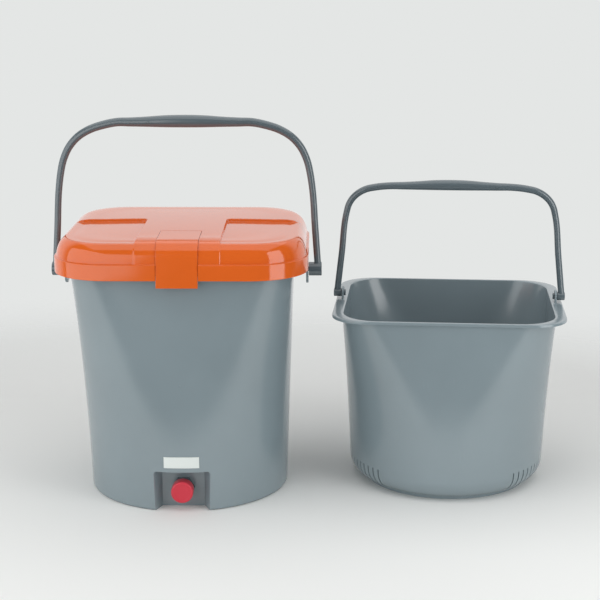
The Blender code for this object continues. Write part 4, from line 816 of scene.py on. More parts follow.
def panel_mask(x, y, grow):
    """How far a place lies down a lowered panel's riser: 0 on the middle band, 1 on the panel."""
    sizes = lid_sizes()
    inward = abs(x) - sizes.panel_inner + grow
    forward = sizes.panel_back + grow - y
    if inward <= 0 or forward <= 0:
        return 0.0
    corner = PANEL_CORNER + grow
    inside = min(inward, forward)
    if inward < corner and forward < corner:
        inside = corner - math.hypot(corner - inward, corner - forward)
    share = min(max(inside / PANEL_RISER, 0.0), 1.0)
    return share * share * (3 - 2 * share)


def panel_cut(height):
    """How far the top is lowered at a height: fully on the crown, less down the shoulder, then not at all."""
    sizes = lid_sizes()
    above = height - sizes.shoulder_top + sizes.panel_drop
    if above <= -PANEL_FLOOR_BLEND:
        return 0.0
    if above < PANEL_FLOOR_BLEND:
        above = (above + PANEL_FLOOR_BLEND) ** 2 / (4 * PANEL_FLOOR_BLEND)
    return min(above, sizes.panel_drop)


def lid_skin(drop=0.0, deep=False):
    """The lid filled solid, with its two lowered panels."""
    sizes = lid_sizes()
    shape = loft(lid_stations(drop, deep))
    pitch = (PANEL_CORNER + drop) / PANEL_LINES
    for line in range(PANEL_LINES + 1):
        inner = sizes.panel_inner - drop + line * pitch
        back = sizes.panel_back + drop - line * pitch
        planes = [((inner, 0, 0), (1, 0, 0)), ((-inner, 0, 0), (1, 0, 0)), ((0, back, 0), (0, 1, 0))]
        for place, direction in planes:
            geometry = shape.verts[:] + shape.edges[:] + shape.faces[:]
            bmesh.ops.bisect_plane(
                shape, geom=geometry, dist=WELD_DISTANCE, plane_co=place, plane_no=direction
            )
    foot = sizes.band_top + LID_BAND_EDGE
    rise = sizes.shoulder_top - foot
    shape.normal_update()
    moves = []
    for vert in shape.verts:
        mask = panel_mask(vert.co.x, vert.co.y, drop)
        if mask == 0 or vert.co.z < foot:
            continue
        level = min(max((vert.co.z + drop - foot) / rise, 0.0), 1.0)
        front = max(0.0, -vert.normal.y / max(math.hypot(vert.normal.x, vert.normal.y), WELD_DISTANCE))
        inward = sizes.panel_front_drop * math.sqrt(1 - level ** 2) * front ** 2
        moves.append((vert, mask * Vector((0, inward, -panel_cut(vert.co.z + drop)))))
    for vert, move in moves:
        vert.co += move
    return shape


def latch_line(inset, foot):
    """The latch's outer surface as (y, height), from its pivot over the bend to its foot, moved inward."""
    sizes = lid_sizes()
    slope = math.degrees(math.atan2(sizes.latch_top - LATCH_BEND_TOP, LATCH_PIVOT.y - LATCH_BEND_Y))
    middle = (LATCH_BEND_Y, LATCH_BEND_TOP - LATCH_BEND_RADIUS)
    points = [(LATCH_PIVOT.y, sizes.latch_top - inset)]
    points += arc(middle, LATCH_BEND_RADIUS - inset, 90 + slope, 180 - LATCH_LEAN_DEGREES, LATCH_ARC_STEPS)
    points.append((latch_front_y(inset, foot), foot))
    return points


def latch_strip(near, far, foot):
    return latch_line(near, foot) + latch_line(far, foot)[::-1]


def latch_slot(depth):
    """The latch's slot: room for it to swing at the top, and a notch through the skirt."""
    sizes = lid_sizes()
    relief_end = LATCH_PIVOT.y + sizes.latch_top - LATCH_PIVOT.z + LATCH_SWING_ROOM
    notch_y = -sizes.half_depth + sizes.wall + sizes.latch_gap
    notch_top = LID_LEDGE_LOW - LID_LEDGE_THICKNESS
    below = sizes.bottom - CUT_OVERRUN
    points = [(relief_end, sizes.latch_top + CUT_OVERRUN)] + latch_line(-CUT_OVERRUN, below)
    points += [(notch_y, below), (notch_y, notch_top)]
    points += latch_line(depth, notch_top)[::-1] + [(relief_end, sizes.latch_top - depth)]
    return slab(points, 0, 2 * (sizes.latch_half_width + sizes.latch_gap))


def lid_cavity():
    """The space under the lid, less the walls round the latch's slot and pocket."""
    sizes = lid_sizes()
    depth = sizes.latch_thickness + sizes.latch_gap
    width = 2 * (sizes.latch_half_width + sizes.latch_gap + sizes.wall)
    walls = latch_strip(-CUT_OVERRUN, depth + sizes.wall, LID_LEDGE_LOW + LID_LEDGE_THICKNESS)
    cavity = carve(lid_skin(sizes.wall, deep=True), slab(walls, 0, width))
    radius = LATCH_BARREL_RADIUS + sizes.latch_gap + sizes.wall
    return carve(cavity, axle(LATCH_PIVOT, width / 2, radius))


def lid_ledge():
    """A ledge round the inside of the skirt that presses on the gasket."""
    wall = lid_sizes().wall
    low, high = LID_LEDGE_LOW, LID_LEDGE_LOW + LID_LEDGE_THICKNESS
    outer, inner = wall / 2, wall + LID_LEDGE_REACH
    places = [(outer, low), (outer, high), (inner, high), (inner, low)]
    return loft([lid_plan(inset, height) for inset, height in places], closed=True)


def lid_knuckle():
    """The lid's knuckle, which turns on the hinge pin between the bin's lugs."""
    sizes = lid_sizes()
    skirt_y = sizes.half_depth - sizes.wall / 2
    points = [(skirt_y, sizes.bottom + bin_sizes().flange_thickness)]
    points += [(HINGE.y, HINGE.z - HINGE_BARREL_RADIUS)]
    points += arc((HINGE.y, HINGE.z), HINGE_BARREL_RADIUS, *KNUCKLE_ARC_DEGREES)
    points += [(skirt_y, sizes.band_top - HINGE_BARREL_RADIUS)]
    return slab(points, 0, 2 * (HINGE_LUG_INNER - RUNNING_GAP), EAR_EDGE_RADIUS)


def lid_shape():
    sizes = lid_sizes()
    lid = carve(lid_skin(), lid_cavity())
    lid = joined(lid, lid_ledge())
    half = sizes.latch_half_width + sizes.latch_gap
    for side in (-1, 1):
        inner = Vector((side * half, LATCH_PIVOT.y, LATCH_PIVOT.z - LATCH_PIN_RADIUS))
        outer = inner + Vector((side * LATCH_LUG_WIDTH, 0, 0))
        lug = rod(inner, outer, LATCH_LUG_RADIUS)
        below = box(inner - Vector((CUT_OVERRUN,) * 3), outer + Vector((CUT_OVERRUN, CUT_OVERRUN, 0)))
        lid = joined(lid, carve(lug, below, "INTERSECT"))
    lid = carve(lid, latch_slot(sizes.latch_thickness + sizes.latch_gap))
    lid = carve(lid, axle(LATCH_PIVOT, half, LATCH_BARREL_RADIUS + sizes.latch_gap))
    lid = carve(lid, axle(LATCH_PIVOT, sizes.latch_half_width + LATCH_LUG_WIDTH, LATCH_PIN_RADIUS + SEAT_GAP))
    lid = joined(lid, lid_knuckle())
    return carve(lid, axle(HINGE, HINGE_LUG_OUTER, HINGE_BORE_RADIUS))


def latch_shape():
    """A bent strip that follows the lid's shoulder, with a barrel at its top and a hooked foot."""
    sizes = lid_sizes()
    width = 2 * sizes.latch_half_width
    outline = latch_strip(0.0, sizes.latch_thickness, LATCH_FOOT_HEIGHT)
    latch = slab(outline, 0, width, LATCH_EDGE_RADIUS)
    slope = latch_release()
    tip = nose_tip()
    plate_y = latch_front_y(sizes.latch_thickness / 2, LATCH_FOOT_HEIGHT)
    top = sizes.bottom - RUNNING_GAP
    inner_y = tip.x + (top - tip.y) * slope.x / slope.y
    foot = LATCH_FOOT_HEIGHT + LATCH_EDGE_RADIUS
    points = [(plate_y, foot), (tip.x, foot), (tip.x, tip.y), (inner_y, top), (plate_y, top)]
    latch = joined(latch, slab(points, 0, 2 * CATCH_HALF_WIDTH))
    latch = joined(latch, axle(LATCH_PIVOT, width / 2, LATCH_BARREL_RADIUS, SEAT_GAP))
    return carve(latch, axle(LATCH_PIVOT, width, LATCH_BORE_RADIUS))


# Bails

def bail_run(sizes, pivot_height, bends):
    """Places and radii from one foot to the other: legs, bends and a swelling grip."""
    foot, leg_top = Vector((sizes.foot, pivot_height)), Vector((sizes.leg_top, sizes.leg_top_height))
    bar_end = Vector((sizes.bar_half_length, sizes.bar_height))
    rise = sizes.grip_height - bar_end.y
    thinner, thicker = sizes.bar_radius - sizes.leg_radius, sizes.grip_radius - sizes.bar_radius
    half = [Vector((*place, sizes.leg_radius)) for place in (foot, (foot + leg_top) / 2, leg_top)]
    for step, (in_share, up_share) in enumerate(bends):
        x = leg_top.x + (bar_end.x - leg_top.x) * in_share
        height = leg_top.y + (bar_end.y - leg_top.y) * up_share
        half.append(Vector((x, height, sizes.leg_radius + thinner * (step + 1) / (len(bends) + 1))))
    half.append(Vector((*bar_end, sizes.bar_radius)))
    for out_share, swell_share in GRIP_SWELL_SHARES:
        radius = sizes.bar_radius + thicker * swell_share
        half.append(Vector((bar_end.x * out_share, bar_end.y + rise * swell_share, radius)))
    left = [Vector((-place.x, place.y, place.z)) for place in half]
    middle = Vector((0, sizes.grip_height, sizes.grip_radius))
    return smooth_run(left + [middle] + half[::-1], BAIL_RUN_STEPS)


def with_marks(bow, run, places):
    """Small round marks that the mould's gates leave on the front of a bar."""
    for x in places:
        near = min(run, key=lambda place: abs(place.x - x))
        inner = Vector((x, GATE_MARK_RADIUS - near.z, near.y))
        outer = Vector((x, -GATE_MARK_HEIGHT - near.z, near.y))
        bow = joined(bow, gate_mark(inner, outer))
    return bow


def with_feet(bow, pivot_height, inner, outer, pin_end, boss_radius, bore_radius):
    """A boss at each foot of a bail, bored for its pin."""
    for side in (-1, 1):
        start, end = Vector((side * inner, 0, pivot_height)), Vector((side * outer, 0, pivot_height))
        bow = joined(bow, rod(start, end, boss_radius, BOSS_EDGE_RADIUS))
        bore_start = Vector((side * (inner - CUT_OVERRUN), 0, pivot_height))
        bore_end = Vector((side * (pin_end + RUNNING_GAP), 0, pivot_height))
        bow = carve(bow, rod(bore_start, bore_end, bore_radius))
    return bow


def bail_shape(sizes, pivot_height, bends, boss_ends, pin_end, bore_radius, marks):
    """A whole bail, upright and centred on X."""
    run = bail_run(sizes, pivot_height, bends)
    bow = with_feet(tube(run), pivot_height, *boss_ends, pin_end, sizes.boss_radius, bore_radius)
    return with_marks(bow, run, marks)


# Bucket

def bucket_plan(height, inset):
    sizes = bucket_sizes()
    outside = bin_sizes()
    nest = outside.wall + sizes.nest_gap
    rim = (outside.rim_half_width - nest, outside.rim_half_depth - nest, sizes.rim_corner)
    return flared(sizes.base_radius, rim, height / sizes.height, height, inset)


def bucket_walls():
    """The whole skin of the bucket: foot ring, outside, rolled rim, inside and floor."""
    sizes = bucket_sizes()
    outer, inner = sizes.foot_radius, sizes.foot_radius - sizes.foot_width
    edge = BUCKET_EDGE_SHARE * sizes.foot_width
    corners = [(station(inner, inner, inner, sizes.foot_height, FLAT_RING_EDGES * sizes.foot_width), 0)]
    corners += [(station(inner, inner, inner, sizes.foot_height), edge)]
    corners += [(station(inner, inner, inner, 0), edge), (station(outer, outer, outer, 0), edge)]
    corners += [(station(outer, outer, outer, sizes.foot_height + SEAT_GAP), 0)]
    corners += bucket_round(sizes.fillet, sizes.foot_height, 0.0)
    rings = range(BUCKET_FIRST_RING, WALL_RINGS)
    corners += [(bucket_plan(sizes.height * step / WALL_RINGS, 0), 0) for step in rings]
    under = sizes.height - sizes.flange_thickness
    low = sizes.height - sizes.lip
    corners.append((bucket_plan(under, 0), edge))

    def rim(inset, height):
        return station(sizes.flange_half_width, sizes.flange_half_depth, sizes.flange_corner, height, inset)

    corners += [(rim(sizes.wall, under), edge), (rim(sizes.wall, low), 0), (rim(0, low), edge)]
    corners += [(rim(0, sizes.height), BUCKET_RIM_OUTER_EDGES * edge)]
    corners += [(bucket_plan(sizes.height, sizes.wall), BUCKET_RIM_INNER_EDGES * edge)]
    corners += [(bucket_plan(sizes.height * step / WALL_RINGS, sizes.wall), 0) for step in reversed(rings)]
    inside = bucket_round(sizes.fillet - sizes.wall, sizes.foot_height + sizes.floor, sizes.wall)
    corners += inside[::-1]
    return loft(rounded(corners, WALL_ROUND_STEPS))


def bucket_round(radius, low, inset):
    """Outlines round the fillet between the bucket's floor and its wall."""
    run = []
    for step in range(BUCKET_FILLET_STEPS + 1):
        share = BUCKET_FILLET_START + (1 - BUCKET_FILLET_START) * step / BUCKET_FILLET_STEPS
        turn = math.radians(90) * share
        up, inward = radius * (1 - math.cos(turn)), radius * (1 - math.sin(turn))
        run.append((bucket_plan(low + up, inset + inward), 0))
    return run


def slot_blades():
    """Thin blades that cut the four groups of drain slots round the base."""
    sizes = bucket_sizes()
    length_out = sizes.base_radius + CUT_OVERRUN - sizes.slot_inner
    blades = bmesh.new()
    for quarter in (0, 180):
        for side in (-1, 1):
            for step in range(SLOTS_IN_GROUP):
                offset = (step - (SLOTS_IN_GROUP - 1) / 2) * SLOT_PITCH_DEGREES
                azimuth = math.radians(quarter + side * (SLOT_GROUP_AZIMUTH_DEGREES + offset))
                blade = bmesh.ops.create_cube(blades, size=1.0)["verts"]
                high = sizes.slot_high - sizes.slot_low
                bmesh.ops.scale(blades, vec=(length_out, sizes.slot_width, high), verts=blade)
                middle = (sizes.slot_inner + length_out / 2, 0, sizes.slot_low + high / 2)
                bmesh.ops.translate(blades, vec=middle, verts=blade)
                bmesh.ops.rotate(blades, matrix=Matrix.Rotation(azimuth, 3, "Z"), verts=blade)
    return blades


def bucket_shape():
    sizes = bucket_sizes()
    bucket = carve(bucket_walls(), slot_blades())
    middle = sizes.ear_half_span - sizes.ear_thickness / 2
    base = sizes.height - sizes.flange_thickness / 2
    for side in (-1, 1):
        points = [(-sizes.ear_half_width, base), (sizes.ear_half_width, base)]
        points += arc((0, BUCKET_PIVOT.z), sizes.ear_half_width, 0, 180)
        bucket = joined(bucket, slab(points, side * middle, sizes.ear_thickness, EAR_EDGE_RADIUS))
        bucket = bored(bucket, side, middle, sizes.ear_thickness, BUCKET_PIVOT.z, BUCKET_BAIL_HOLE_RADIUS)
    return moved(bucket, BUCKET_PLACE)


# Finishes

def linear(channel):
    """One sRGB channel as the linear value that a shader takes."""
    if channel <= 0.04045:
        return channel / 12.92
    return ((channel + 0.055) / 1.055) ** 2.4


def shade(srgb, gain=1.0):
    return (*[linear(channel) * gain for channel in srgb], 1.0)


class Signal:
    """A shader socket that takes part in sums. Each operation on it adds a Math node."""

    def __init__(self, finish, socket):
        self.finish = finish
        self.socket = socket

    def math(self, operation, *values):
        return self.finish.node("ShaderNodeMath", {"operation": operation}, dict(enumerate(values)))

    def __add__(self, other):
        return self.math("ADD", self, other)

    def __radd__(self, other):
        return self.math("ADD", other, self)

    def __sub__(self, other):
        return self.math("SUBTRACT", self, other)

    def __rsub__(self, other):
        return self.math("SUBTRACT", other, self)

    def __mul__(self, other):
        return self.math("MULTIPLY", self, other)

    def __rmul__(self, other):
        return self.math("MULTIPLY", other, self)

    def __truediv__(self, other):
        return self.math("DIVIDE", self, other)

    def clamped(self):
        return self.math("MINIMUM", self.math("MAXIMUM", self, 0.0), 1.0)

    def between(self, low, high):
        """0 at the low value, 1 at the high one, and clamped outside them."""
        return ((self - low) / (high - low)).clamped()


class Finish:
    """A node tree of a material or a world, and the one way that its nodes are made."""

    def __init__(self, holder):
        holder.use_nodes = True
        self.holder = holder
        self.tree = holder.node_tree

    def node(self, kind, settings=None, values=None, output=0):
        """A node of a kind, its settings first, then the values or links of its sockets."""
        made = self.tree.nodes.new(kind)
        for key, value in (settings or {}).items():
            setattr(made, key, value)
        for key, value in (values or {}).items():
            self.feed(made.inputs[key], value)
        return Signal(self, made.outputs[output])

    def surface(self, values):
        """The material, with its surface's sockets set or linked."""
        for name, value in values.items():
            self.feed(self.tree.nodes["Principled BSDF"].inputs[name], value)
        return self.holder

    def feed(self, socket, value):
        if isinstance(value, Signal):
            self.tree.links.new(value.socket, socket)
        else:
            socket.default_value = value

    def ray(self, kind):
        """1 for rays of a kind, 0 for the others."""
        return self.node("ShaderNodeLightPath", output=f"Is {kind} Ray")

    def places(self, scale=(1, 1, 1)):
        """Object coordinates in metres, stretched by a scale."""
        spots = self.node("ShaderNodeTexCoord", output="Object")
        return self.node("ShaderNodeMapping", values={"Vector": spots, "Scale": scale})

    def noise(self, scale, detail=2.0, stretch=(1, 1, 1)):
        values = {"Vector": self.places(stretch), "Scale": scale, "Detail": detail}
        return self.node("ShaderNodeTexNoise", values=values)

    def mixed(self, share, first, second):
        """A colour between two."""
        settings = {"data_type": "RGBA"}
        return self.node("ShaderNodeMix", settings, {"Factor": share, "A": first, "B": second}, output=2)

    def blend(self, share, first, second):
        """A shader between two."""
        return self.node("ShaderNodeMixShader", values={"Fac": share, 1: first, 2: second})

    def bump(self, height, distance):
        return self.node("ShaderNodeBump", values={"Height": height, "Distance": distance})


# Patterns of the plastics: a noise's scale, detail and stretch, and the values between which it rises
CLOUDS = (9.0, 3.0)
CLOUD_RANGE = (0.35, 0.65)
CLOUD_GAINS = (0.97, 1.03)
SPECKLE = (1500.0, 2.0)
WAVES = (45.0, 1.0)
STREAKS = (60.0, 4.0, (9.0, 9.0, 1.0))
STREAK_RANGE = (0.60, 0.72)
PATCHES = (14.0, 2.0)
PATCH_RANGE = (0.45, 0.70)
RUBBED_SHARE = 0.10
RUBBED_GAIN = 1.18
RUBBED_LIFT = 0.02
SPECKLE_ROUGHNESS = 0.06
CLOUD_ROUGHNESS = 0.05
RELIEF_DISTANCE = 0.001

# The label's fibre and the rubber's dust
FIBRE = (2600.0, 3.0, (1.0, 1.0, 2.5))
FIBRE_GAINS = (0.96, 1.02)
FIBRE_RELIEF = 0.00003
FIBRE_ROUGHNESS = 0.08
PAPER_ROUGHNESS = 0.48
DUST = (300.0, 4.0)
DUST_RANGE = (0.5, 0.8)
DUST_TONE = (0.16, 0.16, 0.16)
DUST_ROUGHNESS = 0.15
RUBBER_PORES = 1800.0
RUBBER_RELIEF = 0.00005
RUBBER_ROUGHNESS = 0.72


def plastic(name, tone, roughness, grain, waviness, scuffs, ior):
    """Moulded plastic: clouded colour, a fine grain, slow waves in its gloss and rubbed streaks."""
    finish = Finish(bpy.data.materials.new(name))
    clouds = finish.noise(*CLOUDS)
    speckle = finish.noise(*SPECKLE)
    streaks = finish.noise(*STREAKS).between(*STREAK_RANGE)
    patches = finish.noise(*PATCHES).between(*PATCH_RANGE)
    rubbed = streaks * patches * scuffs
    base = finish.mixed(clouds.between(*CLOUD_RANGE), *[shade(tone, gain) for gain in CLOUD_GAINS])
    worn = shade([min(channel * RUBBED_GAIN + RUBBED_LIFT, 1.0) for channel in tone])
    uneven = (speckle - 0.5) * SPECKLE_ROUGHNESS + rubbed * RUBBED_SHARE + (clouds - 0.5) * CLOUD_ROUGHNESS
    return finish.surface({
        "Base Color": finish.mixed(rubbed * RUBBED_SHARE, base, worn),
        "Roughness": (roughness + uneven).clamped(),
        "Normal": finish.bump(speckle * grain + finish.noise(*WAVES) * waviness, RELIEF_DISTANCE),
        "IOR": ior,
    })


def paper(name, tone):
    """A plain printed film with a faint fibre."""
    finish = Finish(bpy.data.materials.new(name))
    fibre = finish.noise(*FIBRE)
    return finish.surface({
        "Base Color": finish.mixed(fibre, *[shade(tone, gain) for gain in FIBRE_GAINS]),
        "Roughness": (PAPER_ROUGHNESS + fibre * FIBRE_ROUGHNESS).clamped(),
        "Normal": finish.bump(fibre, FIBRE_RELIEF),
    })


def rubber(name, tone):
    """Matt rubber with a little dust and fine pores."""
    finish = Finish(bpy.data.materials.new(name))
    dust = finish.noise(*DUST).between(*DUST_RANGE)
    return finish.surface({
        "Base Color": finish.mixed(dust, shade(tone), shade(DUST_TONE)),
        "Roughness": (RUBBER_ROUGHNESS + dust * DUST_ROUGHNESS).clamped(),
        "Normal": finish.bump(finish.noise(RUBBER_PORES), RUBBER_RELIEF),
    })


# The plastics: name, roughness, grain, waviness, scuffs and index of refraction
PLASTICS = {
    "grey": ("satin grey polypropylene", 0.20, 0.010, 0.02, 0.7, 1.8),
    "dark": ("satin dark grey polypropylene", 0.20, 0.010, 0.02, 0.6, 1.8),
    "orange": ("glossy orange plastic", 0.10, 0.003, 0.03, 0.5, 1.68),
    "red": ("satin red plastic", 0.30, 0.02, 0.01, 0.4, 1.5),
}
made_materials = {}


def material_of(kind):
    """The material of a kind in its colour, made when it is first asked for."""
    if kind not in made_materials:
        tone = getattr(colours(), kind)
        if kind == "label":
            made_materials[kind] = paper("white label film", tone)
        elif kind == "rubber":
            made_materials[kind] = rubber("matt black rubber", tone)
        else:
            name, *looks = PLASTICS[kind]
            made_materials[kind] = plastic(name, tone, *looks)
    return made_materials[kind]


# Operators, one for each piece or group of like pieces

class WASTEBIN_OT_body(Operator):
    """The bin's body with its flange, ears, catch, hinge lugs and alcove"""
    bl_idname = "wastebin.body"
    bl_label = "Bin body"

    def execute(self, context):
        sizes = bin_sizes()
        body = carve(bin_skin(), carve(bin_hollow(), alcove_space(ALCOVE_WALL)))
        body = carve(body, alcove_space(0.0))
        start = Vector((0, -sizes.alcove_back_depth - CUT_OVERRUN, sizes.drain_height))
        end = start + Vector((0, 2 * CUT_OVERRUN, 0))
        body = carve(body, rod(start, end, SPOUT_OUTER_RADIUS + SEAT_GAP))
        body = with_hinge_lugs(with_catch(with_ears(body)))
        mark = Vector((0, wall_y(0, BODY_MARK_HEIGHT) - GATE_MARK_HEIGHT, BODY_MARK_HEIGHT))
        body = joined(body, gate_mark(mark, mark + Vector((0, sizes.wall, 0))))
        finish_piece("bin_shell", body, "root", material_of("grey"), ["outer_bin"])
        return {"FINISHED"}


class WASTEBIN_OT_label(Operator):
    """The blank label, a thin film that follows the wall"""
    bl_idname = "wastebin.label"
    bl_label = "Blank label"

    def execute(self, context):
        sizes = bin_sizes()
        low, high = sizes.label_low, sizes.label_high
        shape = bmesh.new()
        across, up = LABEL_SEGMENTS
        bmesh.ops.create_grid(shape, x_segments=across, y_segments=up, size=1.0)
        for vert in shape.verts:
            x = vert.co.x * sizes.label_half_width
            height = low + (high - low) * (vert.co.y + 1) / 2
            vert.co = (x, wall_y(x, height) - SEAT_GAP, height)
        made = bmesh.ops.extrude_face_region(shape, geom=shape.faces[:])
        bmesh.ops.translate(shape, vec=(0, -SEAT_GAP, 0), verts=made_verts(made))
        bmesh.ops.recalc_face_normals(shape, faces=shape.faces)
        finish_piece("label_film", shape, "root", material_of("label"), ["blank_label"])
        return {"FINISHED"}


class WASTEBIN_OT_cap(Operator):
    """The red screw cap of the drain"""
    bl_idname = "wastebin.cap"
    bl_label = "Drain cap"

    def execute(self, context):
        sizes = bin_sizes()
        inside = -SPOUT_END_Y + SEAT_GAP + CAP_SEAL_THICKNESS + SEAT_GAP
        face = inside + CAP_FACE_THICKNESS
        bore = SPOUT_OUTER_RADIUS + CAP_BORE_CLEARANCE
        radius = sizes.cap_radius
        slope = radius - CAP_FACE_RADIUS
        corners = [
            ((0, face - CAP_DISH), 0), ((CAP_FACE_RADIUS - 2 * slope, face - CAP_DISH), slope / 2),
            ((CAP_FACE_RADIUS - slope, face), slope / 2), ((CAP_FACE_RADIUS, face), slope / 2),
            ((radius, face - slope), slope / 2), ((radius, face - CAP_LENGTH), SEAT_GAP),
            ((bore, face - CAP_LENGTH), SEAT_GAP), ((bore, inside), SEAT_GAP), ((0, inside), 0),
        ]
        profile = rounded([(Vector(place), round_off) for place, round_off in corners], across=0)
        shape = turned(profile, (0, 0, sizes.drain_height), (0, -1, 0))
        finish_piece("drain_cap_knob", shape, "drain_cap", material_of("red"), ["drain_cap"])
        return {"FINISHED"}


class WASTEBIN_OT_lid(Operator):
    """The lid with its lowered panels, latch slot and hinge knuckle"""
    bl_idname = "wastebin.lid"
    bl_label = "Lid"

    def execute(self, context):
        finish_piece("lid_shell", lid_shape(), "lid", material_of("orange"), ["lid"])
        return {"FINISHED"}


class WASTEBIN_OT_latch(Operator):
    """The latch that lies flush in the lid and hooks under the flange"""
    bl_idname = "wastebin.latch"
    bl_label = "Latch"

    def execute(self, context):
        finish_piece("latch_strap", latch_shape(), "latch", material_of("orange"), ["latch"])
        return {"FINISHED"}


class WASTEBIN_OT_carry_bail(Operator):
    """The bin's bail with its swollen grip and bosses"""
    bl_idname = "wastebin.carry_bail"
    bl_label = "Carry bail"

    def execute(self, context):
        sizes = bail_sizes()
        bow = bail_shape(
            sizes, BAIL_PIVOT.z, BAIL_BEND_SHARES, (sizes.boss_inner, sizes.boss_outer), BAIL_PIN_END,
            BAIL_HOLE_RADIUS, BAIL_MARK_PLACES,
        )
        finish_piece("carry_bail_bow", bow, "carry_bail", material_of("dark"), ["carry_bail"])
        return {"FINISHED"}


class WASTEBIN_OT_bucket(Operator):
    """The inner bucket with its rolled rim, ears and drain slots"""
    bl_idname = "wastebin.bucket"
    bl_label = "Inner bucket"

    def execute(self, context):
        bucket = bucket_shape()
        finish_piece(
            "bucket_shell", bucket, "inner_bucket", material_of("grey"), ["inner_bucket"]
        )
        return {"FINISHED"}


class WASTEBIN_OT_bucket_bail(Operator):
    """The bucket's bail"""
    bl_idname = "wastebin.bucket_bail"
    bl_label = "Bucket bail"

    def execute(self, context):
        sizes = bucket_bail_sizes()
        boss_ends = (bucket_sizes().ear_half_span + RUNNING_GAP, sizes.foot + sizes.leg_radius)
        bow = bail_shape(
            sizes, BUCKET_PIVOT.z, BUCKET_BAIL_BEND_SHARES, boss_ends, BUCKET_BAIL_PIN_END,
            BUCKET_BAIL_HOLE_RADIUS, BUCKET_BAIL_MARK_PLACES,
        )
        bow = moved(bow, BUCKET_PLACE)
        finish_piece(
            "bucket_bail_bow", bow, "bucket_bail", material_of("dark"), ["bucket_bail"]
        )
        return {"FINISHED"}


SMALL_PARTS = {
    "drain_spout": "dark", "drain_nut": "dark", "drain_washer": "rubber", "drain_cap_seal": "rubber",
    "lid_seal": "rubber", "lid_hinge_pin": "dark", "latch_pin": "dark",
    "carry_bail_pin_left": "dark", "carry_bail_pin_right": "dark",
    "bucket_bail_pin_left": "dark", "bucket_bail_pin_right": "dark",
}


class WASTEBIN_OT_small_parts(Operator):
    """The pins, the spout, nut and washers, and the gasket: finishes on the frame's own meshes"""
    bl_idname = "wastebin.small_parts"
    bl_label = "Small parts"

    def execute(self, context):
        for node, material in SMALL_PARTS.items():
            thing = frame["nodes"][node]
            thing.data.materials.clear()
            thing.data.materials.append(material_of(material))
        return {"FINISHED"}


CAMERA_PLACE = Vector((0.1693, -1.8824, 0.6741))
CAMERA_DOWN_DEGREES = 12.986
CAMERA_TURN_DEGREES = 0.46
CAMERA_LENS = 90.46
CAMERA_SHIFT = -0.0132
CAMERA_SENSOR = 36
CAMERA_CLIP_END = 50

# The side lamps: name, azimuth from the front towards -X in degrees, then the middle's height, the
# distance, the width and the height in metres, and the radiance
LAMPS = (
    ("left panel", 50.4, 0.55, 1.13, 2.04, 1.10, 1.32),
    ("right panel", -55.0, 0.55, 1.20, 0.62, 1.10, 2.4),
)
TOP_LAMP_PLACE = Vector((0.1, -0.15, 1.9))
TOP_LAMP_SIZE = (2.6, 2.4)
TOP_LAMP_RADIANCE = 0.92

# The world's plain light, and what the plastics mirror in front of the object and behind it
WHITE = (1, 1, 1, 1)
WORLD_LIGHT = 0.35
GLOSSY_FRONT = 0.06
GLOSSY_BACK = 0.95
GLOSSY_EDGE = (0.15, 0.45)
BACKDROP = (0.894, 0.902, 0.898)

# Where the floor fades behind the object and all round it, and where it turns dark in reflections
FLOOR_HALF_WIDTH = 4.0
FLOOR_FADE = (0.35, 1.1)
FLOOR_END = (0.8, 1.15)
FLOOR_DARK = (-0.44, -0.36)
FLOOR_DARK_TONE = (0.2, 0.21, 0.22)
FLOOR_ROUGHNESS = 0.9
FLOOR_SHINE = 0.1


def area_light(name, place, aim, width, height, radiance):
    """A soft lamp whose face has a radiance, so its size and distance set how much it lights."""
    data = bpy.data.lights.new(name, "AREA")
    data.shape = "RECTANGLE"
    data.size = width
    data.size_y = height
    data.energy = radiance * math.pi * width * height
    lamp = bpy.data.objects.new(name, data)
    bpy.context.scene.collection.objects.link(lamp)
    lamp.location = place
    lamp.rotation_euler = (Vector(aim) - Vector(place)).to_track_quat("-Z", "Y").to_euler()


def floor_material():
    """Pale floor that fades into the backdrop round the object, and is dark in reflections in front of it."""
    finish = Finish(bpy.data.materials.new("pale floor"))
    nodes = finish.tree.nodes
    spots = finish.node("ShaderNodeTexCoord", output="Object")
    along = finish.node("ShaderNodeSeparateXYZ", values={"Vector": spots}, output="Y")
    radius = finish.node("ShaderNodeVectorMath", {"operation": "LENGTH"}, {0: spots}, "Value")
    dark = finish.ray("Glossy") * (1.0 - along.between(*FLOOR_DARK))
    kept = (1.0 - along.between(*FLOOR_FADE)) * (1.0 - radius.between(*FLOOR_END))
    material = finish.surface({
        "Base Color": finish.mixed(dark, shade(colours().floor), shade(FLOOR_DARK_TONE)),
        "Roughness": FLOOR_ROUGHNESS,
        "Specular IOR Level": FLOOR_SHINE,
    })
    clear = finish.node("ShaderNodeBsdfTransparent")
    solid = Signal(finish, nodes["Principled BSDF"].outputs["BSDF"])
    finish.feed(nodes["Material Output"].inputs["Surface"], finish.blend(kept, clear, solid))
    return material


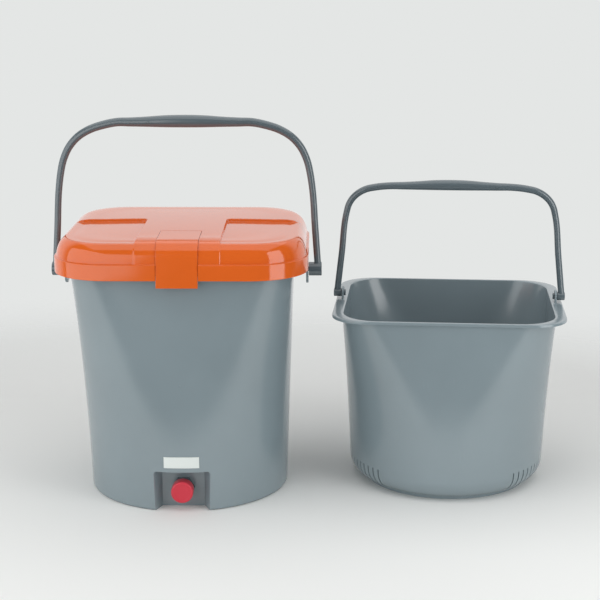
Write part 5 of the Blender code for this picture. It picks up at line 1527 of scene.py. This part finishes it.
def studio_world():
    """Even light all round, a pale backdrop for the camera and a bright wall behind in reflections."""
    finish = Finish(bpy.data.worlds.new("studio"))
    camera, glossy, clear = [finish.ray(kind) for kind in ("Camera", "Glossy", "Transmission")]
    spots = finish.node("ShaderNodeTexCoord", output="Generated")
    depth = finish.node("ShaderNodeSeparateXYZ", values={"Vector": spots}, output="Y")
    lit = finish.tree.nodes["Background"]
    finish.feed(lit.inputs["Color"], WHITE)
    finish.feed(lit.inputs["Strength"], WORLD_LIGHT)
    lit = Signal(finish, lit.outputs["Background"])
    front, back, backdrop = [
        finish.node("ShaderNodeBackground", values={"Color": tone, "Strength": strength})
        for tone, strength in ((WHITE, GLOSSY_FRONT), (WHITE, GLOSSY_BACK), (shade(BACKDROP), 1.0))
    ]
    mirrored = finish.blend(depth.between(*GLOSSY_EDGE), front, back)
    around = finish.blend(glossy, lit, mirrored)
    seen = finish.blend((camera + clear).clamped(), around, backdrop)
    finish.feed(finish.tree.nodes["World Output"].inputs["Surface"], seen)
    return finish.holder


class WASTEBIN_OT_stage(Operator):
    """The pale floor and backdrop, the soft lights and the camera"""
    bl_idname = "wastebin.stage"
    bl_label = "Stage"

    def execute(self, context):
        scene = context.scene
        scene.view_settings.view_transform = "Standard"
        shape = bmesh.new()
        bmesh.ops.create_grid(shape, x_segments=1, y_segments=1, size=FLOOR_HALF_WIDTH)
        mesh = mesh_of("floor_plane", shape)
        mesh.materials.append(floor_material())
        floor = bpy.data.objects.new("floor_plane", mesh)
        scene.collection.objects.link(floor)
        scene.world = studio_world()
        for name, azimuth, height, distance, width, tall, radiance in LAMPS:
            turn = math.radians(azimuth)
            place = (-distance * math.sin(turn), -distance * math.cos(turn), height)
            area_light(name, place, (0, 0, height), width, tall, radiance)
        below = (TOP_LAMP_PLACE.x, TOP_LAMP_PLACE.y, 0)
        area_light("top softbox", TOP_LAMP_PLACE, below, *TOP_LAMP_SIZE, TOP_LAMP_RADIANCE)

        data = bpy.data.cameras.new("camera")
        data.lens = CAMERA_LENS
        data.sensor_width = CAMERA_SENSOR
        data.shift_x = CAMERA_SHIFT
        data.clip_end = CAMERA_CLIP_END
        camera = bpy.data.objects.new("camera", data)
        scene.collection.objects.link(camera)
        camera.location = CAMERA_PLACE
        camera.rotation_euler = (math.radians(90 - CAMERA_DOWN_DEGREES), 0, math.radians(CAMERA_TURN_DEGREES))
        scene.camera = camera
        return {"FINISHED"}


class WASTEBIN_PT_pieces(Panel):
    """Lists the pieces of the bin"""
    bl_idname = "WASTEBIN_PT_pieces"
    bl_label = "Organic Waste Bin"
    bl_space_type = "VIEW_3D"
    bl_region_type = "UI"
    bl_category = "Waste Bin"

    def draw(self, context):
        for operator in OPERATORS:
            self.layout.operator(operator.bl_idname)


OPERATORS = (
    WASTEBIN_OT_stage, WASTEBIN_OT_body, WASTEBIN_OT_label, WASTEBIN_OT_cap, WASTEBIN_OT_lid,
    WASTEBIN_OT_latch, WASTEBIN_OT_carry_bail, WASTEBIN_OT_bucket, WASTEBIN_OT_bucket_bail,
    WASTEBIN_OT_small_parts,
)
GROUPS = {
    "waste_bin_sizes": BinSizes, "waste_lid_sizes": LidSizes, "waste_bail_sizes": BailSizes,
    "waste_bucket_bail_sizes": BucketBailSizes, "waste_bucket_sizes": BucketSizes,
    "waste_bin_colours": FinishColours,
}


def register():
    for group in GROUPS.values():
        bpy.utils.register_class(group)
    for name, group in GROUPS.items():
        setattr(bpy.types.Scene, name, PointerProperty(type=group))
    for operator in OPERATORS:
        bpy.utils.register_class(operator)
    bpy.utils.register_class(WASTEBIN_PT_pieces)


def unregister():
    bpy.utils.unregister_class(WASTEBIN_PT_pieces)
    for operator in reversed(OPERATORS):
        bpy.utils.unregister_class(operator)
    for name in GROUPS:
        delattr(bpy.types.Scene, name)
    for group in reversed(GROUPS.values()):
        bpy.utils.unregister_class(group)


def main():
    register()
    for operator in OPERATORS:
        group, name = operator.bl_idname.split(".")
        getattr(getattr(bpy.ops, group), name)()


if __name__ == "__main__":
    main()
